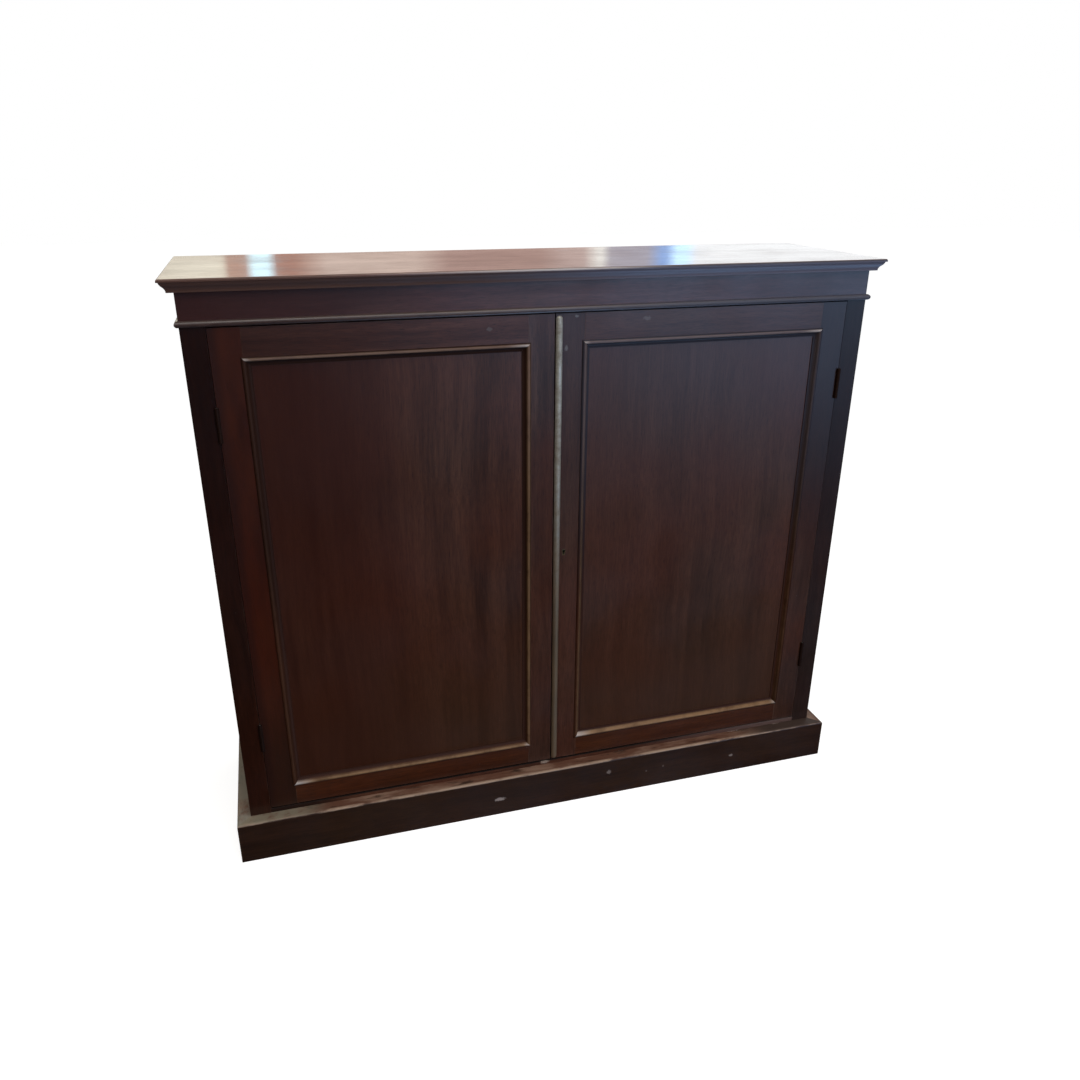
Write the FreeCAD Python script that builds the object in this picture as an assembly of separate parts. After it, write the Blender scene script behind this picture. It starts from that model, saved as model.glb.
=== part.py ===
import FreeCAD, Part
import math
import os

# A low two-door side cabinet in mahogany with a plinth, fixed shelves inside and framed, panelled doors.
# Origin on the floor at the middle of the plan; +X to the right, +Y to the back, +Z up. Millimetres.

# Carcase
carcase_width = 1200.0
carcase_depth = 326.0
overall_height = 1078.0
side_thickness = 22.0
frame_thickness = 22.0
front_stile_width = 38.0
frieze_height = 53.0
tongue_thickness = 7.0
tongue_length = 8.0
stub_tenon_thickness = 7.0
stub_tenon_length = 16.0
stub_tenon_shoulder = 4.0
mortise_slack = 1.5
housing_depth = 8.0

# Top board and its moulded edge
top_thickness = 21.0
top_overhang = 21.0
top_arris = 3.0
top_edge_height = 5.0
top_quirk = 2.6
top_moulding_depth = 11.0
top_fillet_height = 2.0
ogee_swell_share = 0.06

# Half-round moulding under the frieze
astragal_height = 10.0
astragal_projection = 6.0

# Plinth
plinth_height = 85.0
plinth_thickness = 25.0
plinth_arris = 4.0

# Bottom board and shelves
bottom_thickness = 20.0
bottom_rise = 9.0
bottom_arris = 1.5
shelf_thickness = 18.0
shelf_setback = 22.0
shelf_height_shares = (0.34, 0.67)

# Rails under the top, dovetailed into the sides
top_rail_thickness = 20.0
top_rail_depth = 60.0
dovetail_length = 13.0
dovetail_neck_share = 0.5
dovetail_end_share = 0.72

# Back boards
back_thickness = 10.0
back_rebate = 10.0
back_joint_gap = 0.8
back_tongue_thickness = 3.0
back_tongue_length = 5.0
back_tongue_slack = 0.8
back_width_shares = (0.17, 0.155, 0.175, 0.16, 0.18, 0.16)
nail_thickness = 2.4
nail_length = 22.0

# Glue blocks
glue_block_size = 20.0
glue_block_length = 60.0
plinth_front_blocks = 5
plinth_side_blocks = 2
top_side_blocks = 3

# Strip that the doors shut against
door_stop_depth = 18.0
door_stop_lap = 12.0
stop_clearance = 0.3

# Doors
door_foot_gap = 2.5
door_head_gap = 2.0
door_side_gap = 0.8
meeting_gap = 2.0
meeting_shift = 3.0
hinge_stile_width = 48.7
meeting_stile_width = 49.0
door_top_rail_width = 50.5
door_bottom_rail_width = 45.5
panel_thickness = 8.0
panel_sink = 6.0
panel_play = 1.0
panel_groove_depth = 8.0
door_tenon_length = 38.0
haunch_height = 14.0

# Beading round the panels
bead_width = 15.0
bead_lap = 4.0
bead_proud = 3.0
bead_edge_height = 0.8
bead_round_width = 7.5
bead_fillet_width = 1.6
bead_fillet_height = 1.6
hollow_shares = (0.35, 0.65)

# Butt hinges
hinge_length = 57.0
hinge_above_foot = 159.5
hinge_below_head = 153.0
hinge_proud = 2.0
hinge_knuckles = 3
barrel_radius = 3.5
barrel_clearance = 0.3
knuckle_gap = 0.3
leaf_thickness = 1.8
leaf_reach = 17.0
pin_radius = 1.5
pin_clearance = 0.05
hinge_screw_count = 3
hinge_screw_spread_share = 0.66
hinge_screw_reach_share = 0.6

# Screws, and the few flat sides that small fastenings are drawn with
fastening_sides = 6
screw_tip_share = 0.6
screw_head_radius = 2.9
screw_shank_radius = 1.3
screw_length = 14.0
screw_clearance = 0.05
top_screw_head_radius = 4.0
top_screw_head_depth = 3.0
top_screw_shank_radius = 2.0
top_screw_length = 32.0
top_screw_count = 4

# Brass strip on the meeting edge
strip_width = 12.0
strip_proud = 4.0
strip_end_gap = 0.5
strip_end_gap_top = 3.5
strip_pin_count = 6
strip_pin_radius = 0.9
strip_pin_depth = 10.0

# Keyhole and its brass lining
keyhole_above_foot = 466.5
keyhole_from_edge = 20.3
keyhole_radius = 2.4
keyhole_slot_width = 2.4
keyhole_slot_length = 7.0
escutcheon_wall = 1.3
escutcheon_depth = 3.0

# Lock let into the back of the right door
lock_width = 39.0
lock_depth = 9.0
lock_plate_thickness = 1.5
lock_plate_margin = 8.0
lock_cap_thickness = 1.2
lock_wall = 1.5
lock_below_keyhole = 15.0
lock_bolt_lift = 6.0
lock_bolt_height = 12.0
lock_bolt_travel = 8.0
lock_bolt_recess = 0.2
lock_running_gap = 0.15
lock_stump_radius = 1.5
lock_stump_margin = 2.5
key_pin_radius = 1.0
talon_radius = 3.0
strike_pocket_slack = 2.0
lock_screw_shares = (0.28, 0.78)

# Sliding bolts on the back of the left door
bolt_from_edge = 26.0
bolt_width = 8.0
bolt_thickness = 4.0
bolt_travel = 12.0
bolt_tip_gap = 1.5
bolt_running_gap = 0.15
bolt_plate_width = 18.0
bolt_plate_thickness = 1.5
bolt_plate_gap = 3.5
bolt_plate_margin = 7.0
bolt_screw_length = 8.5
bolt_standoff = 2.0
staple_length = 6.0
staple_wall = 2.0
knob_radius = 3.6
knob_neck_radius = 1.6
knob_neck_length = 3.0
knob_margin = 1.0
knob_profile_shares = ((0.6, 1), (1.5, 0.6), (1.5, 0))
keeper_width = 26.0
keeper_depth = 11.0
keeper_thickness = 1.5
keeper_hole_clearance = 0.4
keeper_screw_share = 0.34

# How far every cutting shape runs past what it cuts
overrun = 1.0

# Places that follow from the sizes
half_width = carcase_width / 2
inside_half = half_width - side_thickness
opening_half = half_width - front_stile_width
face = (plinth_thickness - carcase_depth) / 2
back = face + carcase_depth
frame_back = face + frame_thickness
back_inner = back - back_thickness
tongue_left = half_width - (side_thickness + tongue_thickness) / 2
tongue_right = tongue_left + tongue_thickness
top_underside = overall_height - top_thickness
frieze_underside = top_underside - frieze_height
bottom_top = plinth_height + bottom_rise
bottom_underside = bottom_top - bottom_thickness
top_rail_underside = top_underside - top_rail_thickness
shelf_front = frame_back + shelf_setback
stop_underside = frieze_underside - door_head_gap - door_stop_lap
door_low = bottom_top + door_foot_gap
door_high = frieze_underside - door_head_gap
# The doors meet left of the middle; the left door's edge is given as drawn, before it is mirrored
right_inner = meeting_gap / 2 - meeting_shift
left_inner = meeting_gap / 2 + meeting_shift
door_outer = opening_half - door_side_gap
door_back = frame_back - stop_clearance
meeting_edge = meeting_gap / 2 + meeting_stile_width
hinge_edge = door_outer - hinge_stile_width
groove_front = face + panel_sink
groove_back = groove_front + panel_thickness
hinge_x = opening_half - door_side_gap / 2
hinge_y = face - hinge_proud
hinge_lower_height = door_low + hinge_above_foot
hinge_upper_height = door_high - hinge_below_head
hinge_heights = (hinge_lower_height, hinge_upper_height)
knuckle_pitch = hinge_length / hinge_knuckles
keyhole_x = right_inner + keyhole_from_edge
keyhole_height = door_low + keyhole_above_foot
lock_front = door_back - lock_depth
lock_end = right_inner + lock_width
lock_bolt_low = keyhole_height + lock_bolt_lift
lock_bolt_high = lock_bolt_low + lock_bolt_height
lock_low = keyhole_height - lock_below_keyhole
lock_high = lock_bolt_high + lock_running_gap + lock_wall
lock_plate_low = lock_low - lock_plate_margin
lock_plate_high = lock_high + lock_plate_margin
lock_bolt_front = lock_front + lock_cap_thickness + lock_running_gap
lock_bolt_back = door_back - lock_plate_thickness - lock_running_gap
bolt_x = left_inner + bolt_from_edge
bolt_front = door_back + bolt_plate_thickness + bolt_standoff
bolt_back = bolt_front + bolt_thickness


# Shapes that the pieces are made from

def vector(x, y, z):
    return FreeCAD.Vector(x, y, z)


def block(xs, ys, zs):
    """A rectangular block between two places on each axis, given in either order."""
    low = vector(min(xs), min(ys), min(zs))
    return Part.makeBox(abs(xs[1] - xs[0]), abs(ys[1] - ys[0]), abs(zs[1] - zs[0]), low)


def joined(*shapes):
    """Several touching shapes as one solid."""
    return shapes[0].fuse(list(shapes[1:])).removeSplitter()


def mirrored(shape):
    """The left-hand twin of a right-hand shape."""
    return shape.mirror(vector(0, 0, 0), vector(1, 0, 0))


def profile(place, start, *moves):
    """A flat face; a move is a point for a line, or a middle and an end for an arc."""
    edges = []
    here = start
    for move in moves + (start,):
        if isinstance(move[0], tuple):
            middle, end = move
            edges.append(Part.Arc(place(*here), place(*middle), place(*end)).toShape())
        else:
            end = move
            edges.append(Part.makeLine(place(*here), place(*end)))
        here = end
    return Part.Face(Part.Wire(edges))


def upright(points, low, high):
    """An upright prism on a plan outline."""
    corners = [vector(x, y, low) for x, y in points]
    return Part.Face(Part.makePolygon(corners + corners[:1])).extrude(vector(0, 0, high - low))


def turned(points, at, direction):
    """A solid of revolution from (distance along, radius) pairs, set at a point along a direction."""
    corners = [vector(radius, 0, along) for along, radius in points]
    solid = Part.Face(Part.makePolygon(corners + corners[:1])).revolve(
        vector(0, 0, 0), vector(0, 0, 1), 360)
    solid.Placement = FreeCAD.Placement(at, FreeCAD.Rotation(vector(0, 0, 1), direction))
    return solid


def faceted(points, at, direction):
    """A small fastening with few flat sides, from (distance along, radius) pairs."""
    rings = []
    for along, radius in points:
        turns = [FreeCAD.Rotation(vector(0, 0, 1), 360 * side / fastening_sides)
                 for side in range(fastening_sides)]
        ring = [turn.multVec(vector(radius, 0, along)) for turn in turns]
        rings.append(ring + ring[:1])
    outlines = [rings[0], rings[-1]]
    for near, far in zip(rings, rings[1:]):
        for side in range(fastening_sides):
            outlines.append([near[side], near[side + 1], far[side + 1], far[side], near[side]])
    solid = Part.Solid(Part.Shell([Part.Face(Part.makePolygon(outline)) for outline in outlines]))
    solid.Placement = FreeCAD.Placement(at, FreeCAD.Rotation(vector(0, 0, 1), direction))
    return solid


def screw(at, direction, head_depth, head_radius=screw_head_radius, shank_radius=screw_shank_radius,
          length=screw_length):
    """A countersunk wood screw whose head is flush at a point."""
    return faceted([(0, head_radius), (head_depth, shank_radius), (length, shank_radius * screw_tip_share)],
                   at, direction)


def screw_hole(at, direction, head_depth, head_radius=screw_head_radius, shank_radius=screw_shank_radius,
               length=screw_length):
    """The countersunk hole that a screw sits in, open above the head."""
    head = head_radius + screw_clearance
    shank = shank_radius + screw_clearance
    tip = shank_radius * screw_tip_share + screw_clearance
    return faceted([(-overrun, head), (0, head), (head_depth, shank), (length + screw_clearance, tip)],
                   at, direction)


def cut_holes(shape, places, head_depth, length=screw_length):
    """A shape with a countersunk hole at each of several places."""
    return shape.cut([screw_hole(at, direction, head_depth, length=length) for at, direction in places])


def screws(places, head_depth, length=screw_length):
    return [screw(at, direction, head_depth, length=length) for at, direction in places]


# Mouldings that run round the front and the ends of the carcase

def run_round_carcase(reach, low, high, start, moves):
    """The front length and the right-hand return of a moulding, mitred where they meet."""
    front = profile(lambda out, up: vector(-half_width - reach, face - out, up), start, *moves)
    front = front.extrude(vector(2 * (half_width + reach), 0, 0))
    side = profile(lambda out, up: vector(half_width + out, face - reach, up), start, *moves)
    side = side.extrude(vector(0, carcase_depth + reach, 0))
    far = reach + overrun
    corner = (half_width, face)
    tip = (half_width + far, face - far)
    beyond = upright([corner, (half_width + far, face), tip], low - overrun, high + overrun)
    before = upright([corner, (half_width, face - far), tip], low - overrun, high + overrun)
    return front.cut([beyond, mirrored(beyond)]), side.cut(before)


def astragal():
    """Half-round moulding planted on the lower edge of the frieze."""
    low = frieze_underside
    high = low + astragal_height
    middle = (astragal_projection, (low + high) / 2)
    return run_round_carcase(astragal_projection, low, high, (0, low), [(middle, (0, high))])


def plinth():
    """Plinth boards with a softened upper arris."""
    out = plinth_thickness
    high = plinth_height
    bend = plinth_arris * (1 - 0.5 ** 0.5)
    arc = ((out - bend, high - bend), (out - plinth_arris, high))
    return run_round_carcase(out, 0, high, (0, 0), [(out, 0), (out, high - plinth_arris), arc, (0, high)])


# Carcase

def top_board():
    """The top: two runs of the moulded edge section that cross, so that the corners mitre by themselves."""
    tip = top_overhang
    foot = tip - top_moulding_depth
    edge_low = overall_height - top_edge_height
    fillet = top_underside + top_fillet_height
    quirk = tip - top_quirk
    bend = top_arris * (1 - 0.5 ** 0.5)
    middle = ((foot + quirk) / 2, (fillet + edge_low) / 2)
    across = quirk - foot
    swell = across * ogee_swell_share

    def between(low_point, high_point, bulge):
        return ((low_point[0] + high_point[0]) / 2 + bulge, (low_point[1] + high_point[1]) / 2 - bulge)

    rise = [
        (foot, fillet),
        (between((foot, fillet), middle, -swell), middle),
        (between(middle, (quirk, edge_low), swell), (quirk, edge_low)),
        (tip, edge_low),
        (tip, overall_height - top_arris),
        ((tip - bend, overall_height - bend), (tip - top_arris, overall_height)),
    ]
    along = profile(lambda out, up: vector(-half_width - tip - overrun, face - out, up),
                    (foot, top_underside), *rise, (-carcase_depth, overall_height),
                    (-carcase_depth, top_underside))
    along = along.extrude(vector(2 * (half_width + tip + overrun), 0, 0))
    half = profile(lambda out, up: vector(half_width + out, face - tip - overrun, up),
                   (foot, top_underside), *rise, (-half_width, overall_height), (-half_width, top_underside))
    half = half.extrude(vector(0, carcase_depth + tip + 2 * overrun, 0))
    board = along.common(joined(half, mirrored(half)))
    return board.cut(top_screw_holes())


def right_side():
    """End board with a tongue on its front edge, housings, dovetail sockets and a rebate at the back."""
    side = joined(block((inside_half, half_width), (frame_back, back), (0, top_underside)),
                  block((tongue_left, tongue_right), (frame_back - tongue_length, frame_back),
                        (0, top_underside)))
    rebate = block((inside_half - overrun, inside_half + back_rebate), (back_inner, back + overrun),
                   (-overrun, top_underside + overrun))
    housed = (inside_half - overrun, inside_half + housing_depth)
    housings = [block(housed, (frame_back, back_inner), (bottom_underside, bottom_top))]
    for height in shelf_heights():
        housings.append(block(housed, (shelf_front, back_inner), (height, height + shelf_thickness)))
    return side.cut([rebate] + housings + [dovetail(middle) for middle in top_rail_middles()])


def right_front_stile():
    """Front upright, grooved behind for the side board and stub-tenoned up into the frieze."""
    stile = joined(block((opening_half, half_width), (face, frame_back), (0, frieze_underside)),
                   stub_tenon(0))
    stile = stile.cut(front_groove(0, frieze_underside + stub_tenon_length))
    for height in hinge_heights:
        stile = stile.cut([barrel_relief(height), frame_leaf_recess(height)])
        stile = cut_holes(stile, frame_leaf_screws(height), leaf_thickness)
    return stile


def stub_tenon(slack):
    """Tenon on a front stile; with slack it is its mortise."""
    middle = (face + frame_back) / 2
    return block((opening_half + stub_tenon_shoulder, tongue_left - stub_tenon_shoulder),
                 (middle - stub_tenon_thickness / 2, middle + stub_tenon_thickness / 2),
                 (frieze_underside, frieze_underside + stub_tenon_length + slack))


def front_groove(low, high):
    """Groove behind the front frame for the tongue of the side board."""
    return block((tongue_left, tongue_right), (frame_back - tongue_length, frame_back + overrun),
                 (low - overrun, high + overrun))


def frieze_rail():
    """Rail across the whole front, over the ends of the stiles."""
    rail = block((-half_width, half_width), (face, frame_back), (frieze_underside, top_underside))
    groove = front_groove(frieze_underside, top_underside)
    mortise = stub_tenon(mortise_slack)
    return rail.cut([groove, mirrored(groove), mortise, mirrored(mortise)])


def bottom_board():
    """Board housed in the sides; its front edge comes forward between the stiles as the ledge."""
    ends = inside_half + housing_depth
    board = block((-ends, ends), (frame_back, back_inner), (bottom_underside, bottom_top))
    bend = bottom_arris * (1 - 0.5 ** 0.5)
    nosing = profile(lambda y, z: vector(-opening_half, y, z),
                     (frame_back, bottom_underside), (face, bottom_underside),
                     (face, bottom_top - bottom_arris),
                     ((face + bend, bottom_top - bend), (face + bottom_arris, bottom_top)),
                     (frame_back, bottom_top))
    board = joined(board, nosing.extrude(vector(2 * opening_half, 0, 0)))
    board = board.cut([mirrored(shape) for shape in keeper_cuts(bottom_top, -1)])
    return board.cut(nails_at(bottom_nail_height()))


def shelf_heights():
    """Heights of the shelves' undersides, shared out between the bottom board and the rails."""
    room = top_rail_underside - bottom_top
    return [bottom_top + room * share - shelf_thickness / 2 for share in shelf_height_shares]


def shelf(height):
    ends = inside_half + housing_depth
    board = block((-ends, ends), (shelf_front, back_inner), (height, height + shelf_thickness))
    return board.cut(nails_at(height + shelf_thickness / 2))


def top_rail_middles():
    """Depths of the middles of the front and back rails under the top."""
    return frame_back + top_rail_depth / 2, back_inner - top_rail_depth / 2


def dovetail(middle):
    """The right-hand dovetail of a rail under the top, which is also its socket."""
    neck = top_rail_depth * dovetail_neck_share / 2
    end = top_rail_depth * dovetail_end_share / 2
    reach = inside_half + dovetail_length
    plan = [(inside_half, middle - neck), (reach, middle - end), (reach, middle + end),
            (inside_half, middle + neck)]
    return upright(plan, top_rail_underside, top_underside)


def top_rail(middle):
    half = top_rail_depth / 2
    rail = joined(block((-inside_half, inside_half), (middle - half, middle + half),
                        (top_rail_underside, top_underside)),
                  dovetail(middle), mirrored(dovetail(middle)))
    return rail.cut(top_screw_holes())


def top_screw_places():
    """Screws that come up through the two rails into the top."""
    places = []
    for middle in top_rail_middles():
        for step in range(top_screw_count):
            share = (step + 0.5) / top_screw_count
            x = inside_half * (2 * share - 1)
            places.append((vector(x, middle, top_rail_underside), vector(0, 0, 1)))
    return places


def top_screw_holes():
    return [screw_hole(at, direction, top_screw_head_depth, top_screw_head_radius, top_screw_shank_radius,
                       top_screw_length) for at, direction in top_screw_places()]


def top_screws():
    return Part.makeCompound([
        screw(at, direction, top_screw_head_depth, top_screw_head_radius, top_screw_shank_radius,
              top_screw_length) for at, direction in top_screw_places()])


def back_board_edges():
    """Left and right edges of each upright back board, with the joint gaps left open."""
    left = -inside_half - back_rebate
    room = -2 * left
    total = sum(back_width_shares)
    edges = []
    for share in back_width_shares:
        right = left + room * share / total
        edges.append((left, right - back_joint_gap))
        left = right
    edges[-1] = (edges[-1][0], left)
    return edges


def bottom_nail_height():
    return bottom_underside + bottom_thickness / 2


def nail_heights():
    """One row of nails into the bottom board, each shelf and the rail at the top."""
    rows = [height + shelf_thickness / 2 for height in shelf_heights()]
    return [bottom_nail_height()] + rows + [top_underside - top_rail_thickness / 2]


def nails_at(height):
    """A row of cut nails, one through the middle of each back board."""
    half = nail_thickness / 2
    middles = [(left + right) / 2 for left, right in back_board_edges()]
    return [block((x - half, x + half), (back - nail_length, back), (height - half, height + half))
            for x in middles]


def back_board_nails():
    nails = []
    for height in nail_heights():
        nails.extend(nails_at(height))
    return Part.makeCompound(nails)


def back_boards():
    """Tongued and grooved boards, nailed into the rebates."""
    middle = (back_inner + back) / 2
    tongue_y = (middle - back_tongue_thickness / 2, middle + back_tongue_thickness / 2)
    tall = (bottom_underside, top_underside)
    cut = (bottom_underside - overrun, top_underside + overrun)
    edges = back_board_edges()
    boards = []
    for number, (left, right) in enumerate(edges):
        board = block((left, right), (back_inner, back), tall)
        if number < len(edges) - 1:
            reach = back_joint_gap + back_tongue_length
            board = joined(board, block((right, right + reach), tongue_y, tall))
        if number > 0:
            reach = back_tongue_length + back_tongue_slack
            board = board.cut(block((left - overrun, left + reach), tongue_y, cut))
        boards.append(board.cut(back_board_nails().Solids))
    return Part.makeCompound(boards)


def spread(low, high, count):
    """Evenly spaced places between two ends, half a step in from each."""
    return [low + (high - low) * (number + 0.5) / count for number in range(count)]


def plinth_glue_blocks():
    """Blocks rubbed into the angles under the bottom board, behind the plinth and inside the sides."""
    low = bottom_underside - glue_block_size
    half = glue_block_length / 2
    blocks = [block((x - half, x + half), (face, face + glue_block_size), (low, bottom_underside))
              for x in spread(-opening_half, opening_half, plinth_front_blocks)]
    for y in spread(frame_back, back_inner, plinth_side_blocks):
        piece = block((inside_half - glue_block_size, inside_half), (y - half, y + half),
                      (low, bottom_underside))
        blocks.extend([piece, mirrored(piece)])
    return Part.makeCompound(blocks)


def top_glue_blocks():
    """Blocks in the angle between each side and the top, between the two rails."""
    front, rear = [middle + sign * top_rail_depth / 2 for middle, sign in zip(top_rail_middles(), (1, -1))]
    length = min(glue_block_length, (rear - front) / top_side_blocks - overrun)
    blocks = []
    for y in spread(front, rear, top_side_blocks):
        piece = block((inside_half - glue_block_size, inside_half), (y - length / 2, y + length / 2),
                      (top_underside - glue_block_size, top_underside))
        blocks.extend([piece, mirrored(piece)])
    return Part.makeCompound(blocks)


def door_stop():
    """Strip glued behind the frieze; the doors shut against it and the top bolt shoots into it."""
    strip = block((-inside_half, inside_half), (frame_back, frame_back + door_stop_depth),
                  (stop_underside, top_rail_underside))
    return strip.cut([mirrored(shape) for shape in keeper_cuts(stop_underside, 1)])


# Butt hinges, all drawn for the right door

def barrel(low, high, radius):
    """A round bar on the hinge's axis."""
    return Part.makeCylinder(radius, high - low, vector(hinge_x, hinge_y, low))


def barrel_relief(height):
    """Room cut in the wood round the hinge's barrel."""
    half = hinge_length / 2 + knuckle_gap
    return barrel(height - half, height + half, barrel_radius + barrel_clearance)


def knuckle_ends(height, number):
    """Lower and upper end of one knuckle; the outer ones are flush with the leaf."""
    low = height - hinge_length / 2 + number * knuckle_pitch
    high = low + knuckle_pitch
    if number > 0:
        low += knuckle_gap / 2
    if number < hinge_knuckles - 1:
        high -= knuckle_gap / 2
    return low, high


def leaf(height, plate, own_first):
    """A hinge leaf: its plate and every second knuckle, notched round the other leaf's knuckles."""
    own = []
    notches = []
    for number in range(hinge_knuckles):
        low, high = knuckle_ends(height, number)
        if number % 2 == own_first:
            own.append(barrel(low, high, barrel_radius))
        else:
            notches.append(barrel(low - knuckle_gap, high + knuckle_gap, barrel_radius + barrel_clearance))
    return joined(plate.cut(notches), *own).cut(pin_bore(height))


def pin_bore(height):
    """Bore for the hinge's pin, drawn with few sides that all clear the round pin."""
    half = hinge_length / 2 + overrun
    radius = (pin_radius + pin_clearance) / math.cos(math.pi / fastening_sides)
    return faceted([(0, radius), (2 * half, radius)], vector(hinge_x, hinge_y, height - half),
                   vector(0, 0, 1))


def hinge_span(height):
    return height - hinge_length / 2, height + hinge_length / 2


def frame_leaf(height):
    """The leaf let into the front stile."""
    plate = block((opening_half, opening_half + leaf_thickness), (hinge_y, face + leaf_reach),
                  hinge_span(height))
    return cut_holes(leaf(height, plate, 0), frame_leaf_screws(height), leaf_thickness)


def door_leaf(height):
    """The leaf let into the edge of the door."""
    plate = block((door_outer - leaf_thickness, door_outer), (hinge_y, face + leaf_reach),
                  hinge_span(height))
    return cut_holes(leaf(height, plate, 1), door_leaf_screws(height), leaf_thickness)


def frame_leaf_recess(height):
    return block((opening_half - overrun, opening_half + leaf_thickness),
                 (face - overrun, face + leaf_reach), hinge_span(height))


def door_leaf_recess(height):
    return block((door_outer - leaf_thickness, door_outer + overrun), (face - overrun, face + leaf_reach),
                 hinge_span(height))


def leaf_screw_places(x, height, direction):
    """Screws down a leaf, set alternately nearer and further from the barrel."""
    places = []
    gap = hinge_length * hinge_screw_spread_share / (hinge_screw_count - 1)
    for number in range(hinge_screw_count):
        z = height + gap * (number - (hinge_screw_count - 1) / 2)
        reach = leaf_reach * hinge_screw_reach_share
        if number % 2 == 1:
            reach += screw_shank_radius
        places.append((vector(x, face + reach, z), vector(direction, 0, 0)))
    return places


def frame_leaf_screws(height):
    return leaf_screw_places(opening_half, height, 1)


def door_leaf_screws(height):
    return leaf_screw_places(door_outer, height, -1)


def hinge_pins():
    """The four pins, each as long as its hinge."""
    pins = []
    for height in hinge_heights:
        low, high = hinge_span(height)
        pin = barrel(low, high, pin_radius)
        pins.extend([pin, mirrored(pin)])
    return Part.makeCompound(pins)


# Door frames, panels and beading, all drawn for the right door

def rail_edges():
    """Outer and inner edge of the bottom rail and of the top rail."""
    return ((door_low, door_low + door_bottom_rail_width), (door_high, door_high - door_top_rail_width))


def toward_panel(outer, inner):
    """Which way the panel lies from a rail: up or down."""
    return 1 if inner > outer else -1


def rail_tenon(outer, inner, shoulder, way, slack):
    """One tenon of a rail, in line with the panel groove; with slack it is its mortise."""
    sense = toward_panel(outer, inner)
    return block((shoulder, shoulder + way * (door_tenon_length + slack)), (groove_front, groove_back),
                 (outer + sense * haunch_height, inner - sense * panel_groove_depth))


def rail_haunch(outer, inner, shoulder, way):
    """The short haunch that fills the end of the stile's groove."""
    sense = toward_panel(outer, inner)
    return block((shoulder, shoulder + way * panel_groove_depth), (groove_front, groove_back),
                 (outer, outer + sense * haunch_height))


def door_rail(outer, inner):
    sense = toward_panel(outer, inner)
    rail = block((meeting_edge, hinge_edge), (face, door_back), (outer, inner))
    ends = ((meeting_edge, -1), (hinge_edge, 1))
    tenons = [rail_tenon(outer, inner, shoulder, way, 0) for shoulder, way in ends]
    haunches = [rail_haunch(outer, inner, shoulder, way) for shoulder, way in ends]
    groove = block((meeting_edge - overrun, hinge_edge + overrun), (groove_front, groove_back),
                   (inner - sense * panel_groove_depth, inner + sense * overrun))
    return joined(rail.cut(groove), *tenons, *haunches)


def door_stile(inner_edge, outer_edge, way):
    """A door stile with its panel groove and mortises; way points from its shoulder into it."""
    stile = block((inner_edge, outer_edge), (face, door_back), (door_low, door_high))
    groove = block((inner_edge - way * overrun, inner_edge + way * panel_groove_depth),
                   (groove_front, groove_back), (door_low - overrun, door_high + overrun))
    mortises = [rail_tenon(outer, inner, inner_edge, way, mortise_slack) for outer, inner in rail_edges()]
    return stile.cut([groove] + mortises)


def hinge_stile():
    stile = door_stile(hinge_edge, door_outer, 1)
    for height in hinge_heights:
        stile = stile.cut([barrel_relief(height), door_leaf_recess(height)])
        stile = cut_holes(stile, door_leaf_screws(height), leaf_thickness)
    return stile


def door_panel():
    """Flat panel, loose in its grooves."""
    reach = panel_groove_depth - panel_play
    (_, low), (_, high) = rail_edges()
    return block((meeting_edge - reach, hinge_edge + reach), (groove_front, groove_back),
                 (low - reach, high + reach))


def door_beading():
    """Bolection beading: a round that laps the frame, then a hollow down to the panel, mitred."""
    (_, low), (_, high) = rail_edges()
    left = meeting_edge - bead_lap
    right = hinge_edge + bead_lap
    corners = [(left, low - bead_lap), (right, low - bead_lap), (right, high + bead_lap),
               (left, high + bead_lap)]
    hollow_end = (bead_width - bead_fillet_width, bead_fillet_height - panel_sink)
    round_end = (bead_round_width, bead_edge_height)
    across, down = hollow_shares
    hollow_middle = (round_end[0] + (hollow_end[0] - round_end[0]) * across,
                     round_end[1] + (hollow_end[1] - round_end[1]) * down)
    moves = [
        (0, bead_edge_height),
        ((bead_round_width / 2, bead_proud), round_end),
        (hollow_middle, hollow_end),
        (bead_width, hollow_end[1]),
        (bead_width, -panel_sink),
        (bead_lap, -panel_sink),
        (bead_lap, 0),
    ]
    lengths = []
    for number in range(4):
        x, z = corners[number]
        next_x, next_z = corners[(number + 1) % 4]
        length = abs(next_x - x) + abs(next_z - z)
        along_x = (next_x - x) / length
        along_z = (next_z - z) / length
        section = profile(
            lambda inward, up: vector(x - along_z * inward, face - up, z + along_x * inward), (0, 0), *moves)
        run = section.extrude(vector(next_x - x, 0, next_z - z))
        inset_x = along_x * bead_width
        inset_z = along_z * bead_width
        plan = [(x, z), (next_x, next_z), (next_x - inset_x - inset_z, next_z - inset_z + inset_x),
                (x + inset_x - inset_z, z + inset_z + inset_x)]
        outline = [vector(px, face - bead_proud - overrun, pz) for px, pz in plan]
        mitres = Part.Face(Part.makePolygon(outline + outline[:1])).extrude(
            vector(0, bead_proud + panel_sink + 2 * overrun, 0))
        lengths.append(run.common(mitres))
    return Part.makeCompound(lengths)


# Right door: meeting stile, strip, keyhole and lock

def keyhole(front, rear, grow):
    """A keyhole-shaped bar through the door: a round with a slot below it."""
    round_part = Part.makeCylinder(keyhole_radius + grow, rear - front,
                                   vector(keyhole_x, front, keyhole_height), vector(0, 1, 0))
    half = keyhole_slot_width / 2 + grow
    slot = block((keyhole_x - half, keyhole_x + half), (front, rear),
                 (keyhole_height - keyhole_slot_length - grow, keyhole_height))
    return joined(round_part, slot)


def key_way(front, rear):
    """The plain slot that the key passes through behind the lining."""
    return block((keyhole_x - keyhole_radius, keyhole_x + keyhole_radius), (front, rear),
                 (keyhole_height - keyhole_slot_length, keyhole_height + keyhole_radius))


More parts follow.
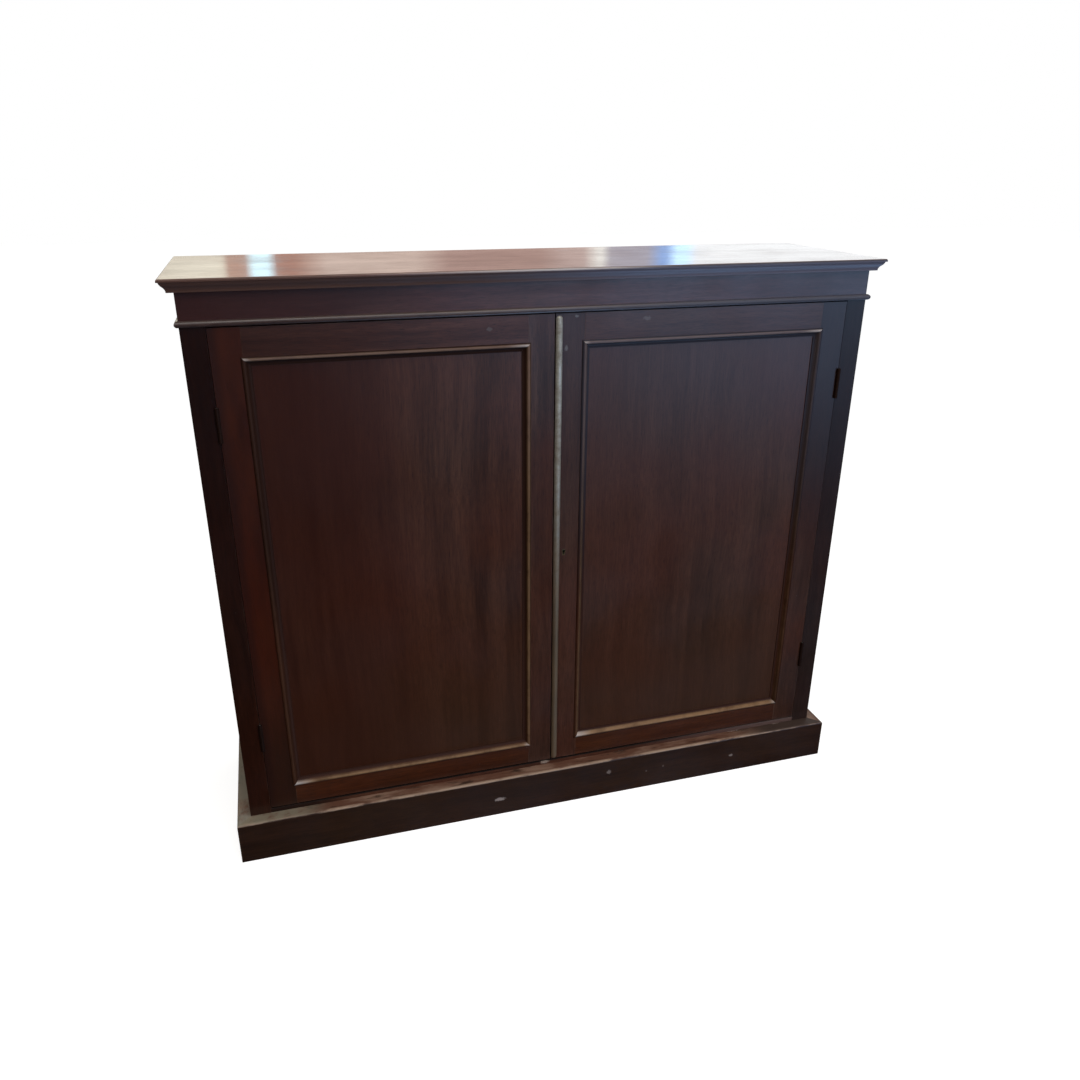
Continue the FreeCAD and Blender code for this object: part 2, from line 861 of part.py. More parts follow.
def keyhole_escutcheon():
    """Thread escutcheon: a thin brass lining let in flush."""
    rear = face + escutcheon_depth
    lining = keyhole(face, rear, escutcheon_wall)
    return lining.cut(keyhole(face - overrun, rear + overrun, 0))


def right_meeting_stile():
    stile = door_stile(meeting_edge, right_inner, -1)
    recess = keyhole(face - overrun, face + escutcheon_depth, escutcheon_wall)
    rear = door_back + overrun
    through = key_way(face, rear)
    box = block((right_inner - overrun, lock_end), (lock_front, rear), (lock_low, lock_high))
    plate = block((right_inner - overrun, lock_end), (door_back - lock_plate_thickness, rear),
                  (lock_plate_low, lock_plate_high))
    selvedge = block((right_inner - overrun, right_inner + lock_plate_thickness), (lock_front, rear),
                     (lock_plate_low, lock_plate_high))
    stile = stile.cut([recess, through, box, plate, selvedge] + strip_pin_bars(0))
    return cut_holes(stile, lock_screw_places(), lock_plate_thickness)


def lock_screw_places():
    """Screws through the margins of the lock's back plate."""
    places = []
    for height in (lock_low - lock_plate_margin / 2, lock_high + lock_plate_margin / 2):
        for share in lock_screw_shares:
            places.append((vector(right_inner + lock_width * share, door_back, height), vector(0, -1, 0)))
    return places


def stump_x():
    """Place of the stump that the tail of the lock's bolt slides on."""
    tail_room = lock_stump_margin + lock_wall + lock_running_gap
    return lock_end - tail_room - lock_bolt_travel - lock_stump_radius


def lock_case():
    """Back plate, edge plate with the bolt's hole, three walls, the key's pin and the bolt's stump."""
    inner_back = door_back - lock_plate_thickness
    cap_back = lock_front + lock_cap_thickness
    inside = right_inner + lock_plate_thickness
    plate = block((right_inner, lock_end), (inner_back, door_back), (lock_plate_low, lock_plate_high))
    selvedge = block((right_inner, inside), (lock_front, inner_back), (lock_plate_low, lock_plate_high))
    bottom = block((inside, lock_end), (cap_back, inner_back), (lock_low, lock_low + lock_wall))
    top = block((inside, lock_end), (cap_back, inner_back), (lock_high - lock_wall, lock_high))
    end = block((lock_end - lock_wall, lock_end), (cap_back, inner_back),
                (lock_low + lock_wall, lock_high - lock_wall))
    key_pin = faceted([(0, key_pin_radius), (inner_back - lock_front, key_pin_radius)],
                      vector(keyhole_x, lock_front, keyhole_height), vector(0, 1, 0))
    stump = faceted([(0, lock_stump_radius), (inner_back - cap_back, lock_stump_radius)],
                    vector(stump_x(), cap_back, (lock_bolt_low + lock_bolt_high) / 2), vector(0, 1, 0))
    gap = lock_running_gap
    hole = block((right_inner - overrun, inside + overrun), (lock_bolt_front - gap, lock_bolt_back + gap),
                 (lock_bolt_low - gap, lock_bolt_high + gap))
    case = joined(plate, selvedge, bottom, top, end, key_pin, stump).cut(hole)
    return cut_holes(case, lock_screw_places(), lock_plate_thickness)


def lock_cap():
    """Cover on the front of the lock, with a slot for the key."""
    inside = right_inner + lock_plate_thickness
    rear = lock_front + lock_cap_thickness
    cap = block((inside, lock_end), (lock_front, rear), (lock_low, lock_high))
    return cap.cut(key_way(lock_front - overrun, rear + overrun))


def lock_bolt():
    """Sliding bolt with a slot for the stump and a talon for the key."""
    middle = (lock_bolt_low + lock_bolt_high) / 2
    stump = stump_x()
    play = lock_stump_radius + lock_running_gap
    end = stump + play + lock_bolt_travel + lock_stump_margin - lock_running_gap
    bolt = block((right_inner + lock_bolt_recess, end), (lock_bolt_front, lock_bolt_back),
                 (lock_bolt_low, lock_bolt_high))
    front = lock_bolt_front - overrun
    thick = lock_bolt_back - lock_bolt_front + 2 * overrun
    slot = [Part.makeCylinder(play, thick, vector(x, front, middle), vector(0, 1, 0))
            for x in (stump, stump + lock_bolt_travel)]
    slot.append(block((stump, stump + lock_bolt_travel), (front, front + thick),
                      (middle - play, middle + play)))
    talon = Part.makeCylinder(talon_radius, thick, vector(keyhole_x + lock_bolt_travel / 2, front,
                                                          lock_bolt_low), vector(0, 1, 0))
    return bolt.cut(slot + [talon])


def brass_meeting_strip():
    """Half-round brass strip with rounded ends on the face of the right door."""
    half = strip_width / 2
    radius = (half ** 2 + strip_proud ** 2) / (2 * strip_proud)
    x = right_inner + half
    y = face - strip_proud + radius
    low = door_low + strip_end_gap + half
    high = door_high - strip_end_gap_top - half
    bar = Part.makeCylinder(radius, high - low + strip_width, vector(x, y, low - half))
    front = face - strip_proud - overrun
    ends = [Part.makeCylinder(half, face - front, vector(x, front, z), vector(0, 1, 0)) for z in (low, high)]
    outline = joined(block((x - half, x + half), (front, face), (low, high)), *ends)
    return bar.common(outline).cut(strip_pin_bars(overrun))


def strip_pin_bars(extra):
    """The pins through the strip, or their holes when they run on in front."""
    front = face - strip_proud + strip_pin_radius / 2
    x = right_inner + strip_width / 2
    low = door_low + strip_end_gap + strip_width
    high = door_high - strip_end_gap_top - strip_width
    length = face + strip_pin_depth - front
    return [faceted([(-extra, strip_pin_radius), (length, strip_pin_radius)],
                    vector(x, front, low + (high - low) * number / (strip_pin_count - 1)), vector(0, 1, 0))
            for number in range(strip_pin_count)]


# Left door: strike plate and sliding bolts, drawn for the right and then mirrored

def strike_plate_places():
    """Screws above and below the strike plate's slot."""
    y = (lock_front + door_back) / 2
    heights = (lock_plate_low + lock_plate_margin, lock_plate_high - lock_plate_margin / 2)
    return [(vector(left_inner, y, height), vector(1, 0, 0)) for height in heights]


def strike_slot(depth, grow):
    """Room for the lock's bolt in the strike plate and in the wood behind it."""
    return block((left_inner - overrun, left_inner + depth), (lock_bolt_front - grow, lock_bolt_back + grow),
                 (lock_bolt_low - grow, lock_bolt_high + grow))


def lock_strike_plate():
    plate = block((left_inner, left_inner + lock_plate_thickness), (lock_front, door_back),
                  (lock_plate_low, lock_plate_high))
    plate = plate.cut(strike_slot(lock_plate_thickness + overrun, keeper_hole_clearance))
    return mirrored(cut_holes(plate, strike_plate_places(), lock_plate_thickness))


def left_meeting_stile():
    stile = door_stile(meeting_edge, left_inner, -1)
    recess = block((left_inner - overrun, left_inner + lock_plate_thickness),
                   (lock_front, door_back + overrun), (lock_plate_low, lock_plate_high))
    pocket = strike_slot(lock_bolt_travel + strike_pocket_slack, 2 * keeper_hole_clearance)
    stile = cut_holes(stile.cut([recess, pocket]), strike_plate_places(), lock_plate_thickness)
    for start, sense in bolt_starts():
        stile = cut_holes(stile, bolt_plate_places(start, sense), bolt_plate_thickness, bolt_screw_length)
    return mirrored(stile)


def bolt_starts():
    """Where each bolt's keeper is and which way the bolt shoots: the top one, then the bottom one."""
    return ((stop_underside, 1), (bottom_top, -1))


def bolt_marks():
    """Distances from the keeper to the plate, staples, knob and ends of a bolt."""
    plate = bolt_plate_gap
    near = plate + bolt_plate_margin
    knob = near + staple_length + knob_margin + bolt_travel + knob_radius
    far = knob + knob_radius + knob_margin
    return {"plate": plate, "near": near, "knob": knob, "far": far,
            "tail": far + staple_length + bolt_travel,
            "plate_end": far + staple_length + bolt_plate_margin}


def bolt_block(start, sense, half, ys, near, far):
    """A block on the line of a bolt, between two distances from its keeper."""
    return block((bolt_x - half, bolt_x + half), ys, (start - sense * near, start - sense * far))


def bolt_plate(start, sense):
    """Back plate with the two staples that the bolt slides in."""
    marks = bolt_marks()
    plate_back = door_back + bolt_plate_thickness
    plate = bolt_block(start, sense, bolt_plate_width / 2, (door_back, plate_back), marks["plate"],
                       marks["plate_end"])
    room = bolt_width / 2 + bolt_running_gap
    staples = [bolt_block(start, sense, room + staple_wall,
                          (plate_back, bolt_back + bolt_running_gap + staple_wall), marks[name],
                          marks[name] + staple_length) for name in ("near", "far")]
    way = bolt_block(start, sense, room, (bolt_front - bolt_running_gap, bolt_back + bolt_running_gap),
                     marks["plate"] - overrun, marks["tail"] + overrun)
    plate = joined(plate, *staples).cut(way)
    return mirrored(cut_holes(plate, bolt_plate_places(start, sense), bolt_plate_thickness,
                              bolt_screw_length))


def bolt_plate_places(start, sense):
    """Screws at the two ends of a bolt's plate."""
    marks = bolt_marks()
    inset = bolt_plate_margin / 2
    return [(vector(bolt_x, door_back + bolt_plate_thickness, start - sense * distance), vector(0, -1, 0))
            for distance in (marks["plate"] + inset, marks["plate_end"] - inset)]


def sliding_bolt(start, sense):
    """A flat bolt with a turned knob, drawn back."""
    marks = bolt_marks()
    bar = bolt_block(start, sense, bolt_width / 2, (bolt_front, bolt_back), bolt_tip_gap, marks["tail"])
    outline = [(0, 0), (0, knob_neck_radius), (knob_neck_length, knob_neck_radius)]
    for along, radius in knob_profile_shares:
        outline.append((knob_neck_length + knob_radius * along, knob_radius * radius))
    knob = turned(outline, vector(bolt_x, bolt_back, start - sense * marks["knob"]), vector(0, 1, 0))
    return mirrored(joined(bar, knob))


def keeper_places(start, sense):
    """Screws beside the hole of a bolt's keeper."""
    y = frame_back + keeper_depth / 2
    return [(vector(bolt_x + side * keeper_width * keeper_screw_share, y, start), vector(0, 0, sense))
            for side in (-1, 1)]


def keeper_hole(start, sense, depth):
    """The hole that a bolt shoots into."""
    grow = keeper_hole_clearance
    return bolt_block(start, sense, bolt_width / 2 + grow, (bolt_front - grow, bolt_back + grow),
                      overrun, -depth)


def keeper(start, sense):
    """Brass plate let in flush round the hole."""
    plate = bolt_block(start, sense, keeper_width / 2, (frame_back, frame_back + keeper_depth), 0,
                       -keeper_thickness)
    plate = plate.cut(keeper_hole(start, sense, keeper_thickness + overrun))
    return mirrored(cut_holes(plate, keeper_places(start, sense), keeper_thickness))


def keeper_cuts(start, sense):
    """What is cut from the wood for a keeper: its recess, the bolt's hole and the screw holes."""
    recess = bolt_block(start, sense, keeper_width / 2, (frame_back, frame_back + keeper_depth), overrun,
                        -keeper_thickness)
    depth = bolt_travel - bolt_tip_gap + mortise_slack
    holes = [screw_hole(at, direction, keeper_thickness) for at, direction in keeper_places(start, sense)]
    return [recess, keeper_hole(start, sense, depth)] + holes


# Groups of like screws

def carcase_fitting_screws():
    """Screws of the hinge leaves on the frame and of the two keepers."""
    group = []
    for height in hinge_heights:
        for piece in screws(frame_leaf_screws(height), leaf_thickness):
            group.extend([piece, mirrored(piece)])
    for start, sense in bolt_starts():
        group.extend(mirrored(piece) for piece in screws(keeper_places(start, sense), keeper_thickness))
    return Part.makeCompound(group)


def left_door_screws():
    """Screws of the left door's hinge leaves, strike plate and bolt plates."""
    group = []
    for height in hinge_heights:
        group.extend(screws(door_leaf_screws(height), leaf_thickness))
    group.extend(screws(strike_plate_places(), lock_plate_thickness))
    for start, sense in bolt_starts():
        group.extend(screws(bolt_plate_places(start, sense), bolt_plate_thickness, bolt_screw_length))
    return mirrored(Part.makeCompound(group))


def right_door_screws():
    """Screws of the right door's hinge leaves and of the lock."""
    group = []
    for height in hinge_heights:
        group.extend(screws(door_leaf_screws(height), leaf_thickness))
    group.extend(screws(lock_screw_places(), lock_plate_thickness))
    return Part.makeCompound(group)


# Every piece by name

def carcase_nodes():
    lower, upper = shelf_heights()
    front_rail, back_rail = top_rail_middles()
    astragal_front, astragal_side = astragal()
    plinth_front, plinth_side = plinth()
    return {
        "top_board": top_board(),
        "frieze_rail": frieze_rail(),
        "astragal_front": astragal_front,
        "astragal_left": mirrored(astragal_side),
        "astragal_right": astragal_side,
        "left_side": mirrored(right_side()),
        "right_side": right_side(),
        "left_front_stile": mirrored(right_front_stile()),
        "right_front_stile": right_front_stile(),
        "bottom_board": bottom_board(),
        "lower_shelf": shelf(lower),
        "upper_shelf": shelf(upper),
        "top_front_rail": top_rail(front_rail),
        "top_back_rail": top_rail(back_rail).cut(nails_at(nail_heights()[-1])),
        "back_boards": back_boards(),
        "plinth_front": plinth_front,
        "plinth_left": mirrored(plinth_side),
        "plinth_right": plinth_side,
        "plinth_glue_blocks": plinth_glue_blocks(),
        "top_glue_blocks": top_glue_blocks(),
        "top_screws": top_screws(),
        "back_board_nails": back_board_nails(),
        "door_stop": door_stop(),
        "left_upper_frame_leaf": mirrored(frame_leaf(hinge_upper_height)),
        "left_lower_frame_leaf": mirrored(frame_leaf(hinge_lower_height)),
        "right_upper_frame_leaf": frame_leaf(hinge_upper_height),
        "right_lower_frame_leaf": frame_leaf(hinge_lower_height),
        "hinge_pins": hinge_pins(),
        "carcase_fitting_screws": carcase_fitting_screws(),
        "top_bolt_keeper": keeper(*bolt_starts()[0]),
        "bottom_bolt_keeper": keeper(*bolt_starts()[1]),
    }


def door_nodes(name, place):
    """The pieces that both doors have; place mirrors them for the left door."""
    (bottom_rail, top_rail_edges) = rail_edges()
    return {
        name + "_hinge_stile": place(hinge_stile()),
        name + "_top_rail": place(door_rail(*top_rail_edges)),
        name + "_bottom_rail": place(door_rail(*bottom_rail)),
        name + "_panel": place(door_panel()),
        name + "_beading": place(door_beading()),
        name + "_upper_leaf": place(door_leaf(hinge_upper_height)),
        name + "_lower_leaf": place(door_leaf(hinge_lower_height)),
    }


def left_door_fittings():
    top, bottom = bolt_starts()
    return {
        "left_door_meeting_stile": left_meeting_stile(),
        "left_door_screws": left_door_screws(),
        "lock_strike_plate": lock_strike_plate(),
        "top_bolt_plate": bolt_plate(*top),
        "bottom_bolt_plate": bolt_plate(*bottom),
        "top_bolt": sliding_bolt(*top),
        "bottom_bolt": sliding_bolt(*bottom),
    }


def right_door_fittings():
    return {
        "right_door_meeting_stile": right_meeting_stile(),
        "right_door_screws": right_door_screws(),
        "brass_meeting_strip": brass_meeting_strip(),
        "strip_pins": Part.makeCompound(strip_pin_bars(0)),
        "keyhole_escutcheon": keyhole_escutcheon(),
        "lock_case": lock_case(),
        "lock_cap": lock_cap(),
        "lock_bolt": lock_bolt(),
    }


def all_nodes():
    nodes = carcase_nodes()
    nodes.update(door_nodes("left_door", mirrored))
    nodes.update(door_nodes("right_door", lambda shape: shape))
    nodes.update(left_door_fittings())
    nodes.update(right_door_fittings())
    return nodes


os.makedirs("parts", exist_ok=True)
for node, shape in all_nodes().items():
    shape.exportStep("parts/" + node + ".step")
    print(node, len(shape.Solids), "solids,", round(shape.Volume / 1000, 2), "cm3, valid", shape.isValid())
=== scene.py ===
import cmath
import math
import random

import bmesh
import bpy
from mathutils import Matrix, Vector, noise


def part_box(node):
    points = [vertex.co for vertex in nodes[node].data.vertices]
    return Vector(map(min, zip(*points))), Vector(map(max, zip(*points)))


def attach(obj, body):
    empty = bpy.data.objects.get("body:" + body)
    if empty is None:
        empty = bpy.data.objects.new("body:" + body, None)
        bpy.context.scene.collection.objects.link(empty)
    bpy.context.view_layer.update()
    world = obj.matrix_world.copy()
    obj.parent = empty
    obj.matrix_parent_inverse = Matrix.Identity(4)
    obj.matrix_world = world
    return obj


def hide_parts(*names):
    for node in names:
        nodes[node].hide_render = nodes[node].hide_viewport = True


# A two-door side cabinet in old French-polished mahogany. Metres, Z up, floor at zero, front towards -Y.

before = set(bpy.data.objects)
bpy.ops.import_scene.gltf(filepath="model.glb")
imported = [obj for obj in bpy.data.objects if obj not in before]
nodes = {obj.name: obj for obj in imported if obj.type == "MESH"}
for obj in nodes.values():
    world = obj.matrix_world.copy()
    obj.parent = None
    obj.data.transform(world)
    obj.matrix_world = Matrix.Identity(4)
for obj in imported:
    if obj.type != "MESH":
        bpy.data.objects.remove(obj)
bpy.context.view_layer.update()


# Carcase boards: the two ends, the narrow uprights beside the doors and the frieze rail over them.
# Solid mahogany, planed, stained and French polished; the frame is tongued and glued to the ends.

def wire(tree, node, values):
    """Feeds sockets of a node; a value is plain, or the socket that it comes from."""
    for name, value in values.items():
        if isinstance(value, bpy.types.NodeSocket):
            tree.links.new(value, node.inputs[name])
        else:
            node.inputs[name].default_value = value


def put(tree, kind, inputs=None, **settings):
    """Adds a shader node with its settings and what feeds it."""
    node = tree.nodes.new(kind)
    for name, value in settings.items():
        setattr(node, name, value)
    wire(tree, node, inputs or {})
    return node


def start_group(name, inputs, outputs):
    """A new shader node group with named float or vector sockets."""
    group = bpy.data.node_groups.new(name, "ShaderNodeTree")
    kinds = {"float": "NodeSocketFloat", "vector": "NodeSocketVector"}
    for direction, sockets in (("INPUT", inputs), ("OUTPUT", outputs)):
        for socket, kind in sockets.items():
            group.interface.new_socket(socket, in_out=direction, socket_type=kinds[kind])
    return group, group.nodes.new("NodeGroupInput"), group.nodes.new("NodeGroupOutput")


def math_node(tree, operation, first, second=0.0, clamp=False):
    return put(tree, "ShaderNodeMath", {0: first, 1: second}, operation=operation, use_clamp=clamp).outputs[0]


def times(tree, first, second, clamp=False):
    return math_node(tree, "MULTIPLY", first, second, clamp)


def ranged(tree, value, low, high, to_low=0.0, to_high=1.0):
    """A value read between two limits, smoothly and clamped."""
    return put(tree, "ShaderNodeMapRange", {
        "Value": value, "From Min": low, "From Max": high, "To Min": to_low, "To Max": to_high,
    }, interpolation_type="SMOOTHSTEP").outputs["Result"]


def blended(tree, share, first, second, blend_type="MIX"):
    """Two colours mixed by a share."""
    return put(tree, "ShaderNodeMix", {0: share, 6: first, 7: second}, data_type="RGBA",
               blend_type=blend_type).outputs[2]


def noise_over(tree, vector, scale, detail, roughness=0.5):
    """Soft noise over a surface, as a value around one half."""
    return put(tree, "ShaderNodeTexNoise", {
        "Vector": vector, "Scale": scale, "Detail": detail, "Roughness": roughness}).outputs["Fac"]


def vector_node(tree, operation, first, second=(0.0, 0.0, 0.0)):
    """A sum on vectors; a length or a dot product comes out as a value."""
    node = put(tree, "ShaderNodeVectorMath", {0: first, 1: second}, operation=operation)
    return node.outputs["Value" if operation in ("LENGTH", "DOT_PRODUCT") else "Vector"]


def object_place(tree):
    return put(tree, "ShaderNodeTexCoord").outputs["Object"]


def mahogany_grain_group():
    """Figure of a mahogany board whose length lies along the Z of the vector that comes in."""
    group, source, sink = start_group(
        "mahogany grain", {"Vector": "vector"},
        {"Stripe": "float", "Fibre": "float", "Pores": "float", "Mottle": "float"})
    vector = source.outputs["Vector"]
    wander = put(group, "ShaderNodeTexNoise", {"Vector": vector, "Scale": 2.6, "Detail": 2.0})
    shift = vector_node(group, "SUBTRACT", wander.outputs["Color"], (0.5, 0.5, 0.5))
    bent = vector_node(group, "ADD", vector, vector_node(group, "MULTIPLY", shift, (0.035, 0.035, 0.0)))
    drawn = vector_node(group, "MULTIPLY", bent, (1.0, 1.0, 0.045))
    broad = noise_over(group, drawn, scale=24.0, detail=3.0, roughness=0.55)
    narrow = noise_over(group, drawn, scale=120.0, detail=4.0, roughness=0.6)
    stripe = math_node(group, "ADD", times(group, broad, 0.6), times(group, narrow, 0.4))
    pores = noise_over(group, drawn, scale=1500.0, detail=0.0)
    mottle = noise_over(group, bent, scale=5.0, detail=1.5)
    fibre = noise_over(group, drawn, scale=620.0, detail=2.0)
    wire(group, sink, {
        "Stripe": ranged(group, stripe, 0.33, 0.67), "Fibre": fibre,
        "Pores": ranged(group, pores, 0.58, 0.78), "Mottle": ranged(group, mottle, 0.25, 0.75)})
    return group


def worn_edge_group():
    """Mask of arrises that hands and cloths have rubbed, broken up so that no edge is even."""
    group, source, sink = start_group("worn edges", {"Radius": "float", "Vector": "vector"},
                                      {"Edge": "float"})
    rounded = put(group, "ShaderNodeBevel", {"Radius": source.outputs["Radius"]}, samples=4)
    flat = put(group, "ShaderNodeNewGeometry")
    agreement = vector_node(group, "DOT_PRODUCT", rounded.outputs[0], flat.outputs["Normal"])
    patches = noise_over(group, source.outputs["Vector"], scale=34.0, detail=5.0, roughness=0.7)
    edge = times(group, ranged(group, agreement, 0.998, 0.86), ranged(group, patches, 0.36, 0.62))
    wire(group, sink, {"Edge": edge})
    return group


def old_polish_group():
    """What years leave on a polished face: cloudy patches, small pale specks and fine rubbing marks."""
    group, source, sink = start_group("old polish", {"Vector": "vector"},
                                      {"Cloud": "float", "Speck": "float", "Rub": "float"})
    vector = source.outputs["Vector"]
    speck = noise_over(group, vector, scale=190.0, detail=1.0)
    rare = noise_over(group, vector, scale=11.0, detail=1.0)
    wire(group, sink, {
        "Cloud": noise_over(group, vector, scale=7.0, detail=3.0),
        "Speck": times(group, ranged(group, speck, 0.80, 0.84), ranged(group, rare, 0.5, 0.62)),
        "Rub": noise_over(group, vector, scale=75.0, detail=6.0, roughness=0.75)})
    return group


mahogany_grain = mahogany_grain_group()
worn_edges = worn_edge_group()
old_polish = old_polish_group()

QUARTER = math.pi / 2
board_turns = {"x": (0.0, -QUARTER, 0.0), "y": (QUARTER, 0.0, 0.0), "z": (0.0, 0.0, 0.0)}
pore_colour = (0.006, 0.003, 0.002, 1.0)
speck_colour = (0.22, 0.19, 0.16, 1.0)
usual_noise = (0.3, 0.7)
mottle_share = 0.55
pore_share = 0.45
speck_share = 0.35
wear_dulls = 0.25
fibre_rise = 0.4
rub_rise = 0.12


def start_finish(name):
    """A new finish: its material, node tree and shader."""
    material = bpy.data.materials.new(name)
    material.use_nodes = True
    return material, material.node_tree, material.node_tree.nodes["Principled BSDF"]


def placed_group(tree, group, **inputs):
    """A shader group put into a finish, as its outputs."""
    return put(tree, "ShaderNodeGroup", inputs, node_tree=group).outputs


def relief_normal(tree, height, strength, distance):
    return put(tree, "ShaderNodeBump", {
        "Strength": strength, "Distance": distance, "Height": height}).outputs[0]


def board_marks(tree, along, shift):
    """The grain and the marks of age on a board that runs along an axis, and the board's own place."""
    board = put(tree, "ShaderNodeMapping", {
        "Vector": object_place(tree), "Location": shift, "Rotation": board_turns[along]}).outputs[0]
    grain = placed_group(tree, mahogany_grain, Vector=board)
    return grain, placed_group(tree, old_polish, Vector=board), board


def polished_mahogany(name, along, shift, deep, warm, red, edge, wear=0.5, roughness=0.335, polish=0.6,
                      edge_radius=0.002, coat_roughness=0.1, specular=0.5):
    """Polished mahogany on a board that runs along an axis; shift moves the figure from board to board."""
    material, tree, surface = start_finish(name)
    grain, marks, board = board_marks(tree, along, shift)
    rubbed = placed_group(tree, worn_edges, Radius=edge_radius, Vector=board)

    colour = blended(tree, grain["Stripe"], (*deep, 1.0), (*warm, 1.0))
    colour = blended(tree, times(tree, grain["Mottle"], mottle_share), colour, (*red, 1.0))
    thread = ranged(tree, grain["Fibre"], *usual_noise, 0.82, 1.16)
    colour = blended(tree, 1.0, colour, put(tree, "ShaderNodeCombineColor", {
        "Red": thread, "Green": thread, "Blue": thread}).outputs[0], "MULTIPLY")
    colour = blended(tree, times(tree, grain["Pores"], pore_share), colour, pore_colour)
    worn = times(tree, rubbed["Edge"], wear)
    colour = blended(tree, worn, colour, (*edge, 1.0))
    colour = blended(tree, times(tree, marks["Speck"], speck_share), colour, speck_colour)

    dull = ranged(tree, marks["Cloud"], *usual_noise, roughness - 0.05, roughness + 0.09)
    dull = math_node(tree, "ADD", dull, times(tree, worn, wear_dulls), clamp=True)
    shine = ranged(tree, marks["Cloud"], *usual_noise, polish, polish * 0.75)
    shine = times(tree, shine, ranged(tree, grain["Stripe"], 0.0, 1.0, 0.8, 1.1), clamp=True)
    relief = math_node(tree, "SUBTRACT", times(tree, grain["Fibre"], fibre_rise), grain["Pores"])
    relief = math_node(tree, "ADD", relief, times(tree, marks["Rub"], rub_rise))
    wire(tree, surface, {
        "Base Color": colour, "Roughness": dull, "Specular IOR Level": specular,
        "Coat Weight": shine, "Coat Roughness": coat_roughness,
        "Normal": relief_normal(tree, relief, strength=0.25, distance=0.0002)})
    return material


same_corner = 0.000002
soft_arris_angle = math.radians(32)


def finish_node(name, material, round_over=0.0, segments=2):
    """Gives a node of the construction its finish and, where asked, softened arrises."""
    piece = nodes[name]
    piece.data.materials.clear()
    piece.data.materials.append(material)
    if round_over:
        weld = piece.modifiers.new("Joined corners", "WELD")
        weld.merge_threshold = same_corner
        soft = piece.modifiers.new("Softened arris", "BEVEL")
        soft.width = round_over
        soft.segments = segments
        soft.limit_method = "ANGLE"
        soft.angle_limit = soft_arris_angle
        shade = piece.modifiers.new("Even shading", "WEIGHTED_NORMAL")
        shade.weight = 80


def overlay(material, mask, colour, roughness, coat=0.0):
    """Lays something over a finish wherever a mask is one: dirt, dust, bare wood, painted light or painted
    shade.
    """
    tree = material.node_tree
    surface = tree.nodes["Principled BSDF"]
    under = surface.inputs["Base Color"].links[0].from_socket
    wire(tree, surface, {"Base Color": blended(tree, mask, under, (*colour, 1.0))})
    for name, value in (("Roughness", roughness), ("Coat Weight", coat)):
        socket = surface.inputs[name]
        under = socket.links[0].from_socket if socket.links else socket.default_value
        mixed = put(tree, "ShaderNodeMix", {0: mask, 2: under, 3: value}, data_type="FLOAT")
        wire(tree, surface, {name: mixed.outputs[0]})


def one_mask(material, kind, start=0.0, full=1.0, strength=1.0):
    """A mask that rises between two places along X, Y or Z, or shows upward faces or a value of the mesh."""
    tree = material.node_tree
    if kind in ("X", "Y", "Z"):
        place = put(tree, "ShaderNodeSeparateXYZ", {"Vector": object_place(tree)})
        return ranged(tree, place.outputs[kind], start, full, 0.0, strength)
    if kind == "up":
        normal = put(tree, "ShaderNodeNewGeometry").outputs["Normal"]
        return ranged(tree, put(tree, "ShaderNodeSeparateXYZ", {"Vector": normal}).outputs["Z"], 0.5, 0.95)
    return put(tree, "ShaderNodeAttribute", attribute_name=kind).outputs["Fac"]


def patchy(material, mask, scale, low, high, drawn=(1.0, 1.0, 1.0)):
    """A mask broken into patches, which may be drawn out along an axis."""
    tree = material.node_tree
    place = vector_node(tree, "MULTIPLY", object_place(tree), drawn)
    patches = noise_over(tree, place, scale, detail=5.0, roughness=0.65)
    return times(tree, mask, ranged(tree, patches, low, high))


def layered(material, layers):
    """Lays named layers over a finish: each has masks, colour, roughness, coat and perhaps patches."""
    for masks, colour, roughness, coat, *patches in layers.values():
        mask = one_mask(material, *masks[0])
        for another in masks[1:]:
            mask = times(material.node_tree, mask, one_mask(material, *another))
        for patch in patches:
            mask = patchy(material, mask, *patch)
        overlay(material, mask, colour, roughness, coat)


# Painted shade: the front stiles are darkened towards the head, where less light falls under the astragal.
upright_layers = {"painted shade at head": ([("Z", 0.3, 0.85, 0.6)], (0.008, 0.0016, 0.0010), 0.38, 0.2)}
upright_wood = {
    "left_front_stile": ((1.3, 0.2, 0.4), (0.012, 0.0036, 0.0018), (0.034, 0.010, 0.005)),
    "right_front_stile": ((4.1, 0.9, 0.1), (0.013, 0.008, 0.007), (0.031, 0.017, 0.013)),
    "left_side": ((0.6, 2.2, 0.8), (0.035, 0.012, 0.006), (0.090, 0.032, 0.014)),
    "right_side": ((2.6, 1.2, 0.3), (0.035, 0.012, 0.006), (0.090, 0.032, 0.014)),
}
for name, (shift, deep, warm) in upright_wood.items():
    finish = polished_mahogany(
        "polished " + name, "z", shift, deep, warm, (0.036, 0.008, 0.003), (0.12, 0.07, 0.045), wear=0.4,
        polish=0.38, specular=0.26)
    if "front" in name:
        layered(finish, upright_layers)
    finish_node(name, finish, round_over=0.0012)

frieze_finish = polished_mahogany(
    "polished frieze", "x", (0.4, 0.7, 1.9), (0.034, 0.010, 0.008), (0.086, 0.033, 0.024),
    (0.074, 0.019, 0.012), (0.16, 0.11, 0.09))
# Towards the right the frieze is darkened and tinted cool grey, a painted part of the cool sheen reflected
# there.
layered(frieze_finish, {
    "painted sheen at right end": ([("X", 0.2, 0.6, 0.4)], (0.014, 0.008, 0.009), 0.3, 0.72),
    "red left end": ([("X", -0.10, -0.50, 0.7)], (0.036, 0.008, 0.006), 0.36, 0.1),
})
finish_node("frieze_rail", frieze_finish, round_over=0.0006)
